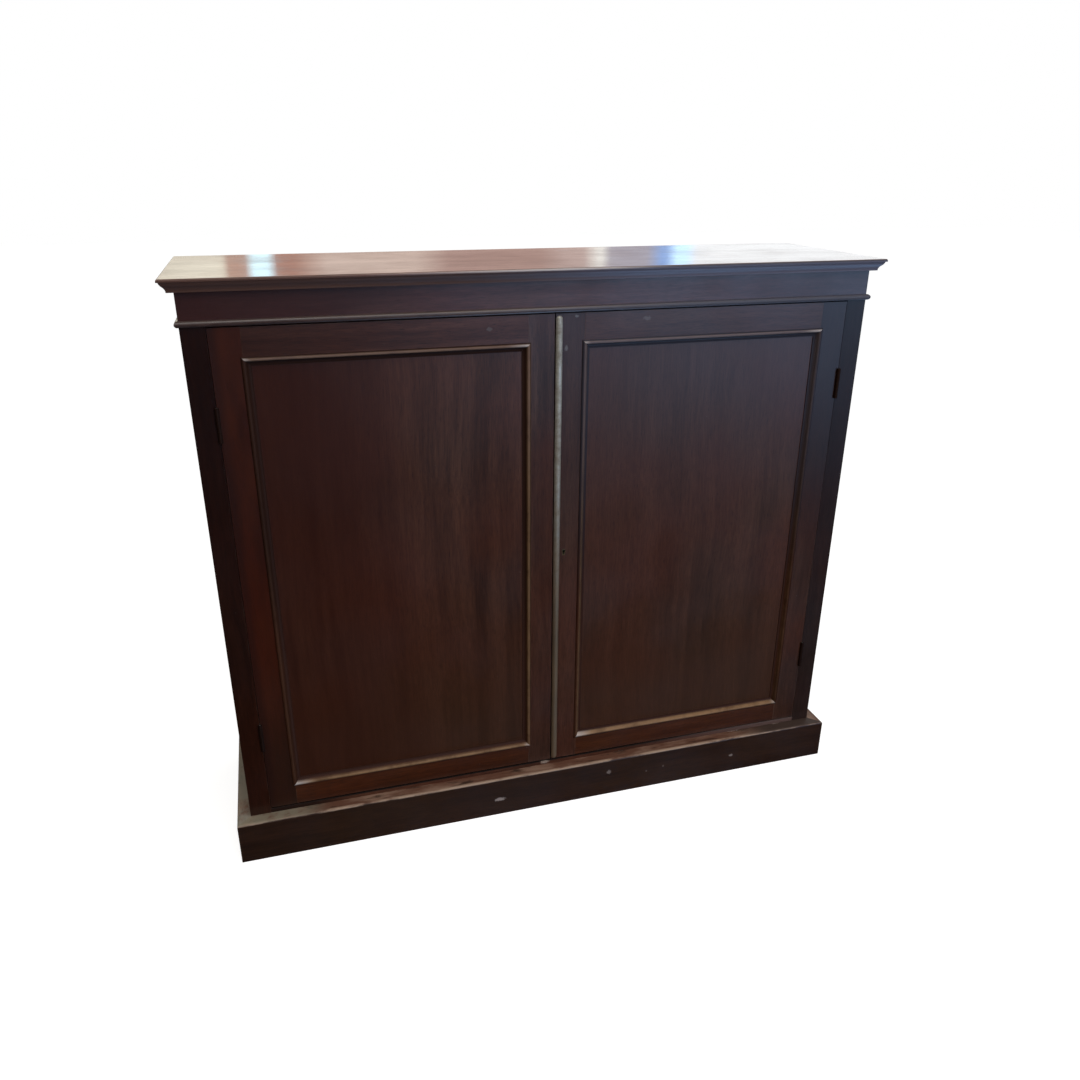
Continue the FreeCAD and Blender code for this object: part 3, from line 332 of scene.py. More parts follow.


# Half-round moulding on the lower edge of the frieze, mitred at the corners and returned along the ends.
# Run in mahogany with a hollow plane, glued and pinned; it is paler and greyer than the frieze, partly rubbed
# and partly a painted highlight, and its right end is tinted cool as a painted reflection.

astragal_finish = polished_mahogany(
    "polished astragal", "x", (3.3, 0.1, 0.6), (0.050, 0.026, 0.019), (0.085, 0.052, 0.041),
    (0.060, 0.028, 0.020), (0.17, 0.14, 0.125), wear=0.4, roughness=0.34, edge_radius=0.003,
    coat_roughness=0.2)
# Painted reflection: the right end is tinted cool grey-blue.
layered(astragal_finish, {
    "painted cool sheen at right end": ([("X", -0.2, 0.35, 0.95)], (0.066, 0.062, 0.078), 0.6, 0.08),
})
finish_node("astragal_front", astragal_finish)
return_finish = polished_mahogany(
    "polished astragal returns", "y", (1.3, 0.1, 0.6), (0.050, 0.024, 0.015), (0.110, 0.062, 0.042),
    (0.080, 0.030, 0.018), (0.26, 0.20, 0.16))
for name in ("astragal_left", "astragal_right"):
    finish_node(name, return_finish)


# Plinth boards, mitred at the front corners and planted over the ends, with a softened upper arris.
# Mahogany, scuffed by feet and mops: darker than the doors, with pale knocks along the arris; the ledge is
# lighter, partly worn and partly painted light, and at the left end its upward faces carry a pale painted
# light.

plinth_face = -0.1755
plinth_ledge = 0.085
mark_grain_scale = 240.0


def spot_mask(material, middle, reach, strength, broken=1.5):
    """One mark with a broken outline, given by its middle and its half-lengths."""
    tree = material.node_tree
    place = object_place(tree)
    offset = vector_node(tree, "DIVIDE", vector_node(tree, "SUBTRACT", place, middle), reach)
    rough = noise_over(tree, place, mark_grain_scale, detail=3.0, roughness=0.7)
    away = math_node(tree, "ADD", vector_node(tree, "LENGTH", offset), times(tree, rough, broken))
    return ranged(tree, away, 1.0 + broken / 2, 0.45 + broken / 2, 0.0, strength)


def marked(material, marks, colour, roughness, coat=0.0):
    """Lays small marks over a finish, each with its middle, its half-lengths and its strength."""
    for middle, reach, strength in marks:
        overlay(material, spot_mask(material, middle, reach, strength), colour, roughness, coat)


def plinth_wood(name, along, shift):
    """Plinth finish: dark in front, lighter on the ledge that its upper edge makes, partly worn and partly
    painted light.
    """
    finish = polished_mahogany(
        name, along, shift, (0.016, 0.006, 0.003), (0.045, 0.017, 0.008), (0.046, 0.020, 0.008),
        (0.24, 0.15, 0.095), wear=0.3, roughness=0.36, polish=0.3, edge_radius=0.003, specular=0.3)
    long_way = (0.25, 1.0, 1.0) if along == "x" else (1.0, 0.25, 1.0)
    # Upward faces are lighter: partly wear, partly painted light from above.
    layered(finish, {
        "worn and lit ledge": ([("up",)], (0.140, 0.060, 0.036), 0.5, 0.0),
        "bare wood": ([("up",)], (0.270, 0.160, 0.108), 0.55, 0.0, (26.0, 0.44, 0.62, long_way)),
        "dirt": ([("up",)], (0.050, 0.024, 0.014), 0.6, 0.0, (70.0, 0.52, 0.66, long_way)),
    })
    return finish


plinth_finish = plinth_wood("polished plinth", "x", (0.9, 0.3, 2.2))
layered(plinth_finish, {
    "knocked arris": ([("Y", -0.1685, -0.1712), ("Z", 0.0812, 0.0835)], (0.36, 0.24, 0.165), 0.45, 0.0,
                      (40.0, 0.38, 0.56, (0.3, 1.0, 1.0))),
    # Painted light: a pale grey-green glow on the upward faces at the left end.
    "painted pale light on the left": ([("up",), ("X", -0.44, -0.53, 0.8)], (0.25, 0.222, 0.155), 0.8, 0.0,
                         (45.0, 0.24, 0.55)),
    # The ledge is darker towards the right end.
    "darker right end": ([("up",), ("X", 0.40, 0.50, 0.95)], (0.046, 0.028, 0.021), 0.6, 0.0),
})
plinth_knocks = [
    ((-0.118, plinth_face, 0.037), (0.014, 0.004, 0.005), 1.0),
    ((0.118, plinth_face, 0.055), (0.006, 0.004, 0.006), 0.5),
    ((0.403, plinth_face, 0.0405), (0.006, 0.004, 0.004), 0.7),
    ((0.203, plinth_face, 0.040), (0.003, 0.004, 0.003), 0.3),
    ((0.242, plinth_face, 0.045), (0.003, 0.004, 0.003), 0.3),
    ((0.151, -0.146, plinth_ledge), (0.011, 0.006, 0.003), 0.8),
    ((0.338, -0.146, plinth_ledge), (0.013, 0.006, 0.003), 0.8),
    ((0.418, -0.147, plinth_ledge), (0.020, 0.007, 0.003), 0.8),
    ((0.520, -0.148, plinth_ledge), (0.015, 0.006, 0.003), 0.6),
    ((-0.561, -0.146, plinth_ledge), (0.006, 0.006, 0.003), 0.8),
]
marked(plinth_finish, plinth_knocks, (0.34, 0.26, 0.22), 0.6)
finish_node("plinth_front", plinth_finish, round_over=0.0005)
plinth_side_finish = plinth_wood("polished plinth ends", "y", (2.9, 0.3, 1.2))
# Painted light: the upward faces of the ends, the left one most, are given a pale grey-green glow.
layered(plinth_side_finish, {
    "painted pale light on the ends": ([("up",), ("X", 0.90, -0.60, 0.75)], (0.28, 0.265, 0.21), 0.8, 0.0, (30.0, 0.25, 0.55)),
})
for name in ("plinth_left", "plinth_right"):
    finish_node(name, plinth_side_finish, round_over=0.0005)


# Bottom board and the two fixed shelves, housed in the ends.
# Mahogany; the bottom board's front edge is the red band under the doors, black along its top with painted
# shade under the doors.

board_finish = polished_mahogany(
    "polished bottom board", "x", (2.1, 0.8, 0.2), (0.040, 0.014, 0.007), (0.120, 0.044, 0.022),
    (0.100, 0.030, 0.014), (0.30, 0.16, 0.10), wear=0.25, roughness=0.45, polish=0.2, specular=0.2)
layered(board_finish, {
    "painted shade under the doors": ([("Z", 0.0915, 0.0928), ("Y", -0.122, -0.130)], (0.010, 0.005, 0.003), 0.8, 0.0),
    "dark left end": ([("X", -0.36, -0.50, 0.9)], (0.014, 0.005, 0.002), 0.6, 0.0),
    "pale right end": ([("X", 0.15, 0.50, 0.6)], (0.150, 0.095, 0.080), 0.5, 0.0),
})
marked(board_finish, [((-0.016, -0.1505, 0.0905), (0.011, 0.005, 0.005), 0.8)], (0.34, 0.25, 0.19), 0.6)
finish_node("bottom_board", board_finish, round_over=0.0003)
shelf_finish = polished_mahogany(
    "shelf wood", "x", (1.1, 3.8, 0.7), (0.090, 0.042, 0.020), (0.200, 0.100, 0.052),
    (0.170, 0.070, 0.034), (0.30, 0.20, 0.13), roughness=0.5, polish=0.1)
for name in ("lower_shelf", "upper_shelf"):
    finish_node(name, shelf_finish, round_over=0.001)


# Rails under the top, the strip that the doors shut against, glue blocks and back boards.
# Plain unpolished softwood and secondary mahogany, browned with age and dusty where no cloth reaches.

dust_colour = (0.24, 0.20, 0.16, 1.0)
open_pore_colour = (0.03, 0.018, 0.010, 1.0)


def bare_wood(name, along, shift, deep, warm):
    """Unpolished wood inside and behind: dry, open grained and grey with dust."""
    material, tree, surface = start_finish(name)
    grain, marks, _ = board_marks(tree, along, shift)
    colour = blended(tree, grain["Stripe"], (*deep, 1.0), (*warm, 1.0))
    colour = blended(tree, ranged(tree, marks["Cloud"], 0.42, 0.68, 0.0, 0.4), colour, dust_colour)
    colour = blended(tree, times(tree, grain["Pores"], 0.5), colour, open_pore_colour)
    relief = math_node(tree, "SUBTRACT", grain["Fibre"], grain["Pores"])
    wire(tree, surface, {
        "Base Color": colour, "Roughness": ranged(tree, marks["Rub"], *usual_noise, 0.62, 0.86),
        "Specular IOR Level": 0.3, "Normal": relief_normal(tree, relief, strength=0.6, distance=0.0004)})
    return material


rail_wood = bare_wood("rail wood", "x", (0.2, 1.7, 0.9), (0.14, 0.075, 0.038), (0.27, 0.16, 0.085))
for name in ("top_front_rail", "top_back_rail", "door_stop", "plinth_glue_blocks", "top_glue_blocks"):
    finish_node(name, rail_wood, round_over=0.0008)
back_wood = bare_wood("back board wood", "z", (3.2, 0.7, 1.9), (0.15, 0.085, 0.045), (0.30, 0.185, 0.10))
finish_node("back_boards", back_wood, round_over=0.0006)


# The top: one board with a moulded edge on the front and both ends, screwed up through the rails.
# Figured mahogany with the brightest polish of all, rubbed almost bare along its rounded front arris; a pale
# painted highlight lies along the middle of the arris, and a painted cool sheen on the right of the arris and
# moulding.

top_finish = polished_mahogany(
    "polished top", "x", (0.3, 2.4, 1.5), (0.070, 0.022, 0.012), (0.170, 0.064, 0.036),
    (0.150, 0.040, 0.020), (0.24, 0.17, 0.14), wear=0.7, roughness=0.17, polish=0.9, edge_radius=0.0035,
    coat_roughness=0.045)
under_top = ("Z", 1.0777, 1.0770)
under_arris = ("Z", 1.0752, 1.0735)
# Painted light: a pale highlight on the middle of the arris, and a cool sheen on the arris and moulding at
# the right.
layered(top_finish, {
    "brown moulding": ([under_arris], (0.082, 0.036, 0.023), 0.5, 0.0),
    "brown left arris": ([under_top, ("X", -0.20, -0.45, 0.8)], (0.088, 0.034, 0.018), 0.6, 0.0),
    "painted cool sheen on right arris": ([under_top, ("X", 0.02, 0.22)], (0.055, 0.041, 0.050), 0.45, 0.1),
    "painted cool sheen on right moulding": ([under_arris, ("X", -0.20, 0.25, 0.9)], (0.134, 0.122, 0.160), 0.45, 0.10),
    "painted highlight on arris": ([("Z", 1.0777, 1.0772), ("Z", 1.0740, 1.0750), ("X", -0.36, 0.02), ("X", 0.22, 0.02)],
                   (0.40, 0.34, 0.31), 0.35, 0.5, (9.0, 0.3, 0.5)),
})
finish_node("top_board", top_finish, round_over=0.0005)


# Door frames: two stiles and two rails each, mortised and tenoned, grooved for the panels.
# Mahogany; the left door's hinge stile is a redder board than the others.

door_wood = {
    "left_door_hinge_stile": ("z", (0.5, 1.4, 2.2), (0.028, 0.004, 0.0013), (0.088, 0.013, 0.004)),
    "left_door_meeting_stile": ("z", (2.2, 0.4, 1.2), (0.026, 0.010, 0.006), (0.070, 0.030, 0.018)),
    "left_door_top_rail": ("x", (1.2, 1.1, 0.3), (0.032, 0.010, 0.006), (0.085, 0.030, 0.018)),
    "left_door_bottom_rail": ("x", (2.8, 0.2, 1.6), (0.034, 0.009, 0.003), (0.098, 0.028, 0.009)),
    "right_door_hinge_stile": ("z", (3.5, 2.4, 0.2), (0.030, 0.013, 0.008), (0.080, 0.036, 0.022)),
    "right_door_meeting_stile": ("z", (1.7, 3.1, 0.5), (0.030, 0.013, 0.008), (0.082, 0.038, 0.024)),
    "right_door_top_rail": ("x", (0.8, 2.1, 1.3), (0.030, 0.012, 0.007), (0.080, 0.034, 0.020)),
    "right_door_bottom_rail": ("x", (1.8, 1.2, 2.6), (0.034, 0.010, 0.004), (0.094, 0.028, 0.010)),
}
door_face = -0.1505
# Painted shade: these frame pieces are darkened towards the head, where less light falls.
painted_shade_head_masks = {
    "left_door_hinge_stile": [("Z", 0.3, 0.85, 0.5)],
    "left_door_top_rail": [("Z", 0.3, 0.85, 0.35), ("X", -0.25, -0.45)],
    "right_door_hinge_stile": [("Z", 0.3, 0.85, 0.8)],
    "right_door_meeting_stile": [("Z", 0.3, 0.85, 0.45)],
    "right_door_top_rail": [("Z", 0.3, 0.85, 0.3)],
}
red_stile_layers = {
    "brown foot": ([("Z", 0.52, 0.16, 0.7)], (0.022, 0.010, 0.005), 0.36, 0.35),
    "red wood": ([("Z", 0.22, 0.50, 0.95)], (0.054, 0.009, 0.001), 0.4, 0.0,
                 (5.0, 0.3, 0.7, (2.5, 2.5, 1.0))),
    # Painted shade: the outer edge is darkened as the deep shadow in the gap beside the front stile.
    "painted shade at outer side": ([("X", -0.540, -0.558, 0.6)], (0.018, 0.005, 0.003), 0.36, 0.3),
}
door_smudges = {
    "left_door_top_rail": [((-0.118, door_face, 0.981), (0.007, 0.004, 0.004), 0.3)],
    "right_door_top_rail": [((0.164, door_face, 0.988), (0.009, 0.004, 0.005), 0.4)],
    "right_door_meeting_stile": [((0.035, door_face, 0.9965), (0.004, 0.004, 0.003), 0.8),
                                 ((0.017, door_face, 0.943), (0.004, 0.004, 0.006), 0.6)],
}
for name, (along, shift, deep, warm) in door_wood.items():
    red_stile = name == "left_door_hinge_stile"
    finish = polished_mahogany(
        "polished " + name, along, shift, deep, warm, (0.080, 0.018, 0.006), (0.20, 0.13, 0.09), wear=0.4,
        coat_roughness=0.2 if red_stile else 0.1, specular=0.38)
    if name in painted_shade_head_masks:
        layered(finish, {"painted shade at head": (painted_shade_head_masks[name], (0.010, 0.0025, 0.0015), 0.335, 0.45)})
    if red_stile:
        layered(finish, red_stile_layers)
    marked(finish, door_smudges.get(name, ()), (0.15, 0.14, 0.14), 0.5, 0.2)
    finish_node(name, finish, round_over=0.0006)


# Panels: flat boards with upright grain, loose in their grooves.
# Mahogany of a quieter figure, very dark, warmer towards the foot; painted shade darkens the left panel's
# upper far corner and the right panel's head.

warm_foot = ([("Z", 0.50, 0.16, 0.5)], (0.056, 0.022, 0.008), 0.36, 0.3)
panel_wood = {
    "left_door_panel": ((0.2, 0.6, 3.1), (0.026, 0.009, 0.004), (0.076, 0.028, 0.014), 0.54, {
        "warm foot": warm_foot,
        "painted shade in far corner": ([("Z", 0.4, 0.8, 0.5), ("X", -0.25, -0.42)], (0.010, 0.003, 0.002), 0.3, 0.6),
        "red far side": ([("X", -0.18, -0.42, 0.5)], (0.042, 0.006, 0.001), 0.36, 0.15),
    }),
    "right_door_panel": ((2.9, 1.6, 0.9), (0.038, 0.016, 0.009), (0.078, 0.032, 0.018), 0.6, {
        "warm foot": warm_foot,
        "painted shade at head": ([("Z", 0.55, 0.95, 0.5)], (0.036, 0.013, 0.010), 0.335, 0.45),
    }),
}
for name, (shift, deep, warm, polish, layers) in panel_wood.items():
    finish = polished_mahogany(
        "polished " + name, "z", shift, deep, warm, (0.074, 0.018, 0.008), (0.12, 0.07, 0.05), wear=0.0,
        polish=polish, specular=0.4)
    layered(finish, layers)
    finish_node(name, finish)


# Beading round each panel: a rounded ridge that laps the frame and a hollow that runs down to the panel.
# Run in mahogany, mitred and glued in four lengths; hand work and wear leave it slightly uneven.

bead_width = 0.015
bead_lap = 0.004
bead_proud = 0.003
bead_edge_height = 0.0008
bead_round_width = 0.0075
bead_fillet = 0.0016
bead_foot = 0.006
bead_step = 0.011
bead_mitre_gap = 0.00006
hollow_shares = (0.35, 0.65)
ridge_steps = 10
hollow_steps = 8
bead_crease_angle = 38

# How far in across the beading the band of wear and painted highlight starts, is full, begins to fade and
# ends.
bead_wear_and_light = {
    "left_beading": (0.0008, 0.0034, 0.0056, 0.0090), "right_beading": (0.0026, 0.0056, 0.0082, 0.0112),
}
bead_head_wear_and_light = (0.0016, 0.0036, 0.0050, 0.0072)
# How worn and how brightly lit each length is, as wear and painted highlight: foot, right, head, left.
length_wear_and_light = {"left_beading": (0.8, 0.42, 0.62, 0.015), "right_beading": (0.8, 0.06, 0.5, 0.2)}
upright_foot_wear_and_light = 0.05
foot_wear_and_light_shares = (0.3, 0.8)
pale_start = 0.040
pale_end = 0.012
hollow_blend = 0.0012
wave_rate = 9.0
ripple_rate = 45.0
plane_wave = 0.00016
plane_ripple = 0.00009
plane_sink = 0.00008
plane_drift = 0.00012


def arc_through(first, middle, last, steps):
    """Points along the circle through three points, without the first."""
    start, way, end = complex(*first), complex(*middle), complex(*last)
    side = (end - start) / (way - start)
    centre = start + (way - start) * (side - abs(side) ** 2) / (side - side.conjugate())
    turn, through = (cmath.phase((point - centre) / (start - centre)) % math.tau for point in (end, way))
    if through > turn:
        turn -= math.tau
    points = [centre + (start - centre) * cmath.rect(1.0, turn * step / steps)
              for step in range(1, steps + 1)]
    return [(point.real, point.imag) for point in points]


def bead_section():
    """Section of the beading as (in towards the panel, out from the frame) and whether a point shows."""
    crest = (bead_round_width / 2, bead_proud)
    round_end = (bead_round_width, bead_edge_height)
    hollow_end = (bead_width - bead_fillet, bead_fillet - bead_foot)
    across, down = hollow_shares
    hollow_middle = (round_end[0] + (hollow_end[0] - round_end[0]) * across,
                     round_end[1] + (hollow_end[1] - round_end[1]) * down)
    points = [(0.0, bead_edge_height)]
    points += arc_through(points[0], crest, round_end, ridge_steps)
    points += arc_through(round_end, hollow_middle, hollow_end, hollow_steps)
    points.append((bead_width, hollow_end[1]))
    shown = len(points)
    points += [(bead_width, -bead_foot), (bead_lap, -bead_foot), (bead_lap, 0.0), (0.0, 0.0)]
    return points, shown


def add_object(name, data):
    added = bpy.data.objects.new(name, data)
    bpy.context.scene.collection.objects.link(added)
    return added


def mesh_piece(name, mesh, material, body, smooth_angle):
    """An object from a bmesh, shaded smooth below an angle, finished and riding on a body."""
    data = bpy.data.meshes.new(name)
    bmesh.ops.recalc_face_normals(mesh, faces=mesh.faces)
    for face in mesh.faces:
        face.smooth = True
    for edge in mesh.edges:
        edge.smooth = edge.calc_face_angle(0.0) < math.radians(smooth_angle)
    mesh.to_mesh(data)
    mesh.free()
    data.materials.append(material)
    piece = add_object(name, data)
    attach(piece, body)
    return piece


def skin_rings(mesh, rings):
    """Closes rings of corners one to the next and caps both ends."""
    for first, second in zip(rings, rings[1:]):
        for index in range(len(first)):
            following = (index + 1) % len(first)
            mesh.faces.new((first[index], first[following], second[following], second[index]))
    mesh.faces.new(rings[0])
    mesh.faces.new(list(reversed(rings[-1])))


def share_of_way(value, start, full):
    """How far a value has come between two others, from zero to one."""
    return min(1.0, max(0.0, (value - start) / (full - start)))


def bead_frame(name, node, material, body, seed):
    """Four mitred lengths of beading round a panel, in place of the plain ones."""
    low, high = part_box(node)
    face_y = low.y + bead_proud
    corners = [(low.x, low.z), (high.x, low.z), (high.x, high.z), (low.x, high.z)]
    points, shown = bead_section()
    mesh = bmesh.new()
    hollow, worn, pale = (mesh.verts.layers.float.new(kind) for kind in ("hollow", "worn", "pale"))
    for number in range(4):
        upright = number % 2 == 1
        wear_from, wear_full, wear_fades, wear_to = bead_head_wear_and_light if number == 2 else bead_wear_and_light[name]
        x, z = corners[number]
        next_x, next_z = corners[(number + 1) % 4]
        length = math.hypot(next_x - x, next_z - z)
        along = Vector(((next_x - x) / length, 0.0, (next_z - z) / length))
        inward = Vector((-along.z, 0.0, along.x))
        count = round(length / bead_step)
        rings = []
        for step in range(count + 1):
            ring = []
            for index, (across, out) in enumerate(points):
                inset = across + bead_mitre_gap
                run = inset + (length - 2 * inset) * step / count
                spot = Vector((x, face_y, z)) + along * run + inward * across
                if index < shown:
                    wave = noise.noise(Vector((run * wave_rate, seed + number * 7.3, across * 40.0)))
                    ripple = noise.noise(Vector((run * ripple_rate, seed + number * 3.1, across * 90.0)))
                    out -= max(0.0, plane_wave * wave + plane_ripple * ripple + plane_sink)
                    spot += inward * plane_drift * wave
                corner = mesh.verts.new(spot - Vector((0.0, out, 0.0)))
                corner[hollow] = share_of_way(across, wear_to, wear_to + hollow_blend)
                band = share_of_way(across, wear_from, wear_full) * share_of_way(across, wear_to, wear_fades)
                foot = share_of_way((high.z - spot.z) / (high.z - low.z), *foot_wear_and_light_shares)
                corner[worn] = band * (length_wear_and_light[name][number] + upright_foot_wear_and_light * foot * upright)
                if not upright:
                    corner[pale] = band * max(0.0, 1.0 - run / pale_start, 1.0 - (length - run) / pale_end)
                ring.append(corner)
            rings.append(ring)
        skin_rings(mesh, rings)
    piece = mesh_piece(name, mesh, material, body, bead_crease_angle)
    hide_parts(node)


bead_finish = polished_mahogany(
    "polished beading", "z", (0.7, 3.3, 0.4), (0.024, 0.009, 0.005), (0.060, 0.023, 0.012),
    (0.060, 0.016, 0.008), (0.16, 0.09, 0.055), wear=0.1, roughness=0.44, polish=0.03, edge_radius=0.0022,
    specular=0.07)
right_door_side = ("X", -0.01, 0.03)
# Painted light on the beading: the crest band and its bare wood are partly wear and partly a painted
# highlight, stronger on lengths that face the light; the pale ends of the level lengths are a painted
# highlight; the right door's head is tinted cool as a painted reflection; the heads are darkened as painted
# shade.
layered(bead_finish, {
    "hollow": ([("hollow",)], (0.042, 0.017, 0.011), 0.5, 0.0),
    "painted shade at head": ([("Z", 0.30, 0.65, 0.8)], (0.022, 0.009, 0.006), 0.5, 0.0),
    "painted cool sheen on right head": ([("Z", 0.40, 0.90, 0.85), right_door_side], (0.034, 0.032, 0.042), 0.5, 0.12),
    "bare wood": ([("worn",)], (0.34, 0.195, 0.095), 0.42, 0.2, (26.0, 0.1, 0.62)),
    "lit left head": ([("worn",), ("Z", 0.6, 0.9)], (0.200, 0.125, 0.105), 0.5, 0.12),
    "lit right head": ([("worn",), ("Z", 0.6, 0.9), right_door_side], (0.140, 0.130, 0.158), 0.5, 0.12),
    "painted highlight at mitre ends": ([("pale",)], (0.56, 0.48, 0.43), 0.5, 0.0),
})
bead_frame("left_beading", "left_door_beading", bead_finish, "left_door", 1.7)
bead_frame("right_beading", "right_door_beading", bead_finish, "right_door", 5.2)


# Butt hinges: pairs of leaves let into the frame and the door, with round steel-pinned barrels.
# Cast brass gone brown and greasy, darker on the barrels and brighter on the rubbed arrises.

metal_edge = 0.0012
film_dulls = 0.22


def aged_metal(name, dark, bright, metallic=1.0, roughness=0.4, tarnish=0.5, grain_scale=60.0, film_hides=0.3,
               specular=0.5):
    """Old metal: bright where it is handled, dark and rough where tarnish holds."""
    material, tree, surface = start_finish(name)
    place = object_place(tree)
    marks = placed_group(tree, old_polish, Vector=place)
    rubbed = placed_group(tree, worn_edges, Radius=metal_edge, Vector=place)
    pits = noise_over(tree, place, grain_scale, detail=6.0, roughness=0.7)
    film = ranged(tree, pits, 0.5 - tarnish / 3, 0.5 + tarnish / 3)
    colour = blended(tree, film, (*bright, 1.0), (*dark, 1.0))
    colour = blended(tree, times(tree, rubbed["Edge"], 0.6), colour, (*bright, 1.0))
    dull = math_node(tree, "ADD", times(tree, film, film_dulls),
                     ranged(tree, marks["Rub"], *usual_noise, roughness - 0.06, roughness + 0.08))
    bare = math_node(tree, "SUBTRACT", metallic, times(tree, film, film_hides))
    wire(tree, surface, {
        "Base Color": colour, "Metallic": bare, "Roughness": dull, "Specular IOR Level": specular,
        "Normal": relief_normal(tree, pits, strength=0.4, distance=0.0002)})
    return material


hinge_brass = aged_metal(
    "hinge brass", (0.010, 0.006, 0.004), (0.050, 0.030, 0.016), metallic=0.25, roughness=0.6, tarnish=0.4,
    specular=0.1)
layered(hinge_brass, {"greasy barrels": ([("Y", -0.146, -0.150, 0.9)], (0.014, 0.005, 0.003), 0.6, 0.0)})
for side in ("left", "right"):
    for height in ("upper", "lower"):
        finish_node(side + "_" + height + "_frame_leaf", hinge_brass, round_over=0.0003)
        finish_node(side + "_door_" + height + "_leaf", hinge_brass, round_over=0.0003)
pin_steel = aged_metal("hinge pin steel", (0.05, 0.045, 0.04), (0.32, 0.30, 0.28), roughness=0.35)
finish_node("hinge_pins", pin_steel)


# Countersunk wood screws in the hinges, lock, plates, keepers and the top.
# Steel with hand-cut slots, each turned to where the driver left it.

same_level = 0.0001
screw_slot_share = 0.13
screw_slot_depth_share = 0.28
countersink_slope = 0.62
screw_head_steps = 12
screw_shank_steps = 20
screw_shank_share = 0.45
screw_taper_share = 0.75
screw_point_radius = 0.0004
screw_crease_angle = 35


def box_of(points):
    """The least and the greatest corner round some points."""
    return [Vector([pick(point[axis] for point in points) for axis in range(3)]) for pick in (min, max)]


def loose_parts(node):
    """The corners of each separate solid in a node."""
    mesh = bmesh.new()
    mesh.from_mesh(nodes[node].data)
    bmesh.ops.remove_doubles(mesh, verts=mesh.verts, dist=same_corner)
    left = set(mesh.verts)
    parts = []
    while left:
        todo = [left.pop()]
        part = []
        while todo:
            corner = todo.pop()
            part.append(corner.co.copy())
            for edge in corner.link_edges:
                other = edge.other_vert(corner)
                if other in left:
                    left.remove(other)
                    todo.append(other)
        parts.append(part)
    mesh.free()
    return sorted(parts, key=lambda part: tuple(round(c, 4) for c in sum(part, Vector()) / len(part)))


def screw_axis(part):
    """Middle of the head, direction of the shank, head radius and length of one screw."""
    low, high = box_of(part)
    axis = max(range(3), key=lambda k: high[k] - low[k])
    head = (low + high) / 2
    others = [k for k in range(3) if k != axis]

    def spread(level):
        return max((math.hypot(*(corner[k] - head[k] for k in others))
                    for corner in part if abs(corner[axis] - level) < same_level), default=0.0)

    head_at_high = spread(high[axis]) > spread(low[axis])
    head[axis] = high[axis] if head_at_high else low[axis]
    direction = Vector()
    direction[axis] = -1.0 if head_at_high else 1.0
    return head, direction, spread(head[axis]), high[axis] - low[axis]


def ring_round(mesh, middle, radius, steps, place):
    """A ring of corners round an axis, put in place by a function of the two arms and the height."""
    turns = [math.tau * step / steps for step in range(steps)]
    return [mesh.verts.new(place(radius * math.cos(turn), radius * math.sin(turn), middle)) for turn in turns]


def slotted_screw(mesh, head, direction, radius, length, turn):
    """A countersunk head in two halves beside its slot, over a tapered shank."""
    frame_turn = direction.to_track_quat("Z", "Y").to_matrix().to_4x4()
    to_place = Matrix.Translation(head) @ frame_turn @ Matrix.Rotation(turn, 4, "Z")
    slot_half = radius * screw_slot_share
    slot_depth = radius * screw_slot_depth_share
    for sign in (1, -1):
        opening = math.asin(slot_half / radius)
        angles = [opening + (math.pi - 2 * opening) * step / screw_head_steps
                  for step in range(screw_head_steps + 1)]
        rim = [(sign * radius * math.cos(a), sign * radius * math.sin(a)) for a in angles]
        lower = 1 - slot_depth * countersink_slope / radius
        tops = [mesh.verts.new(to_place @ Vector((x, y, 0.0))) for x, y in rim]
        foot_rim = [(x * lower, max(slot_half, abs(y) * lower) * sign) for x, y in rim]
        feet = [mesh.verts.new(to_place @ Vector((x, y, slot_depth))) for x, y in foot_rim]
        mesh.faces.new(tops)
        mesh.faces.new(list(reversed(feet)))
        for index in range(len(tops)):
            following = (index + 1) % len(tops)
            mesh.faces.new((tops[index], feet[index], feet[following], tops[following]))
    shank = radius * screw_shank_share
    outline = [(slot_depth, radius - slot_depth * countersink_slope),
               ((radius - shank) / countersink_slope, shank),
               (length * screw_taper_share, shank), (length, screw_point_radius)]
    skin_rings(mesh, [ring_round(mesh, along, reach, screw_shank_steps,
                                 lambda x, y, z: to_place @ Vector((x, y, z))) for along, reach in outline])


screw_steel = aged_metal("screw steel", (0.045, 0.036, 0.030), (0.26, 0.24, 0.21), roughness=0.45)
screw_draw = random.Random(11)
screw_groups = {
    "frame_fitting_screws": ("carcase_fitting_screws", "cabinet"),
    "left_door_fitting_screws": ("left_door_screws", "left_door"),
    "right_door_fitting_screws": ("right_door_screws", "right_door"),
    "top_fixing_screws": ("top_screws", "cabinet"),
}
for name, (node, body) in screw_groups.items():
    mesh = bmesh.new()
    for part in loose_parts(node):
        slotted_screw(mesh, *screw_axis(part), screw_draw.uniform(0.0, math.pi))
    piece = mesh_piece(name, mesh, screw_steel, body, screw_crease_angle)
    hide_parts(node)
nail_iron = aged_metal("nail iron", (0.028, 0.020, 0.016), (0.11, 0.085, 0.07), roughness=0.6)
finish_node("back_board_nails", nail_iron)


# Half-round brass strip down the meeting edge of the right door, with domed ends, pinned through.
# Brass that has lost its lacquer: greenish grey, dented here and there by the key.

strip_rings = 120
strip_end_rings = 6
strip_arc_steps = 14
strip_least_dome = 0.05
strip_width_share = 0.99
strip_foot_share = 0.4
strip_dent = 0.00022
dent_rate = 14.0
strip_lean = 0.00015
lean_rate = 5.0
strip_crease_angle = 50
pin_radius = 0.0011
pin_crown_radius = 0.0002
pin_dome = 0.00012
pin_shoulder = 0.0001
pin_steps = 16
pin_crease_angle = 40


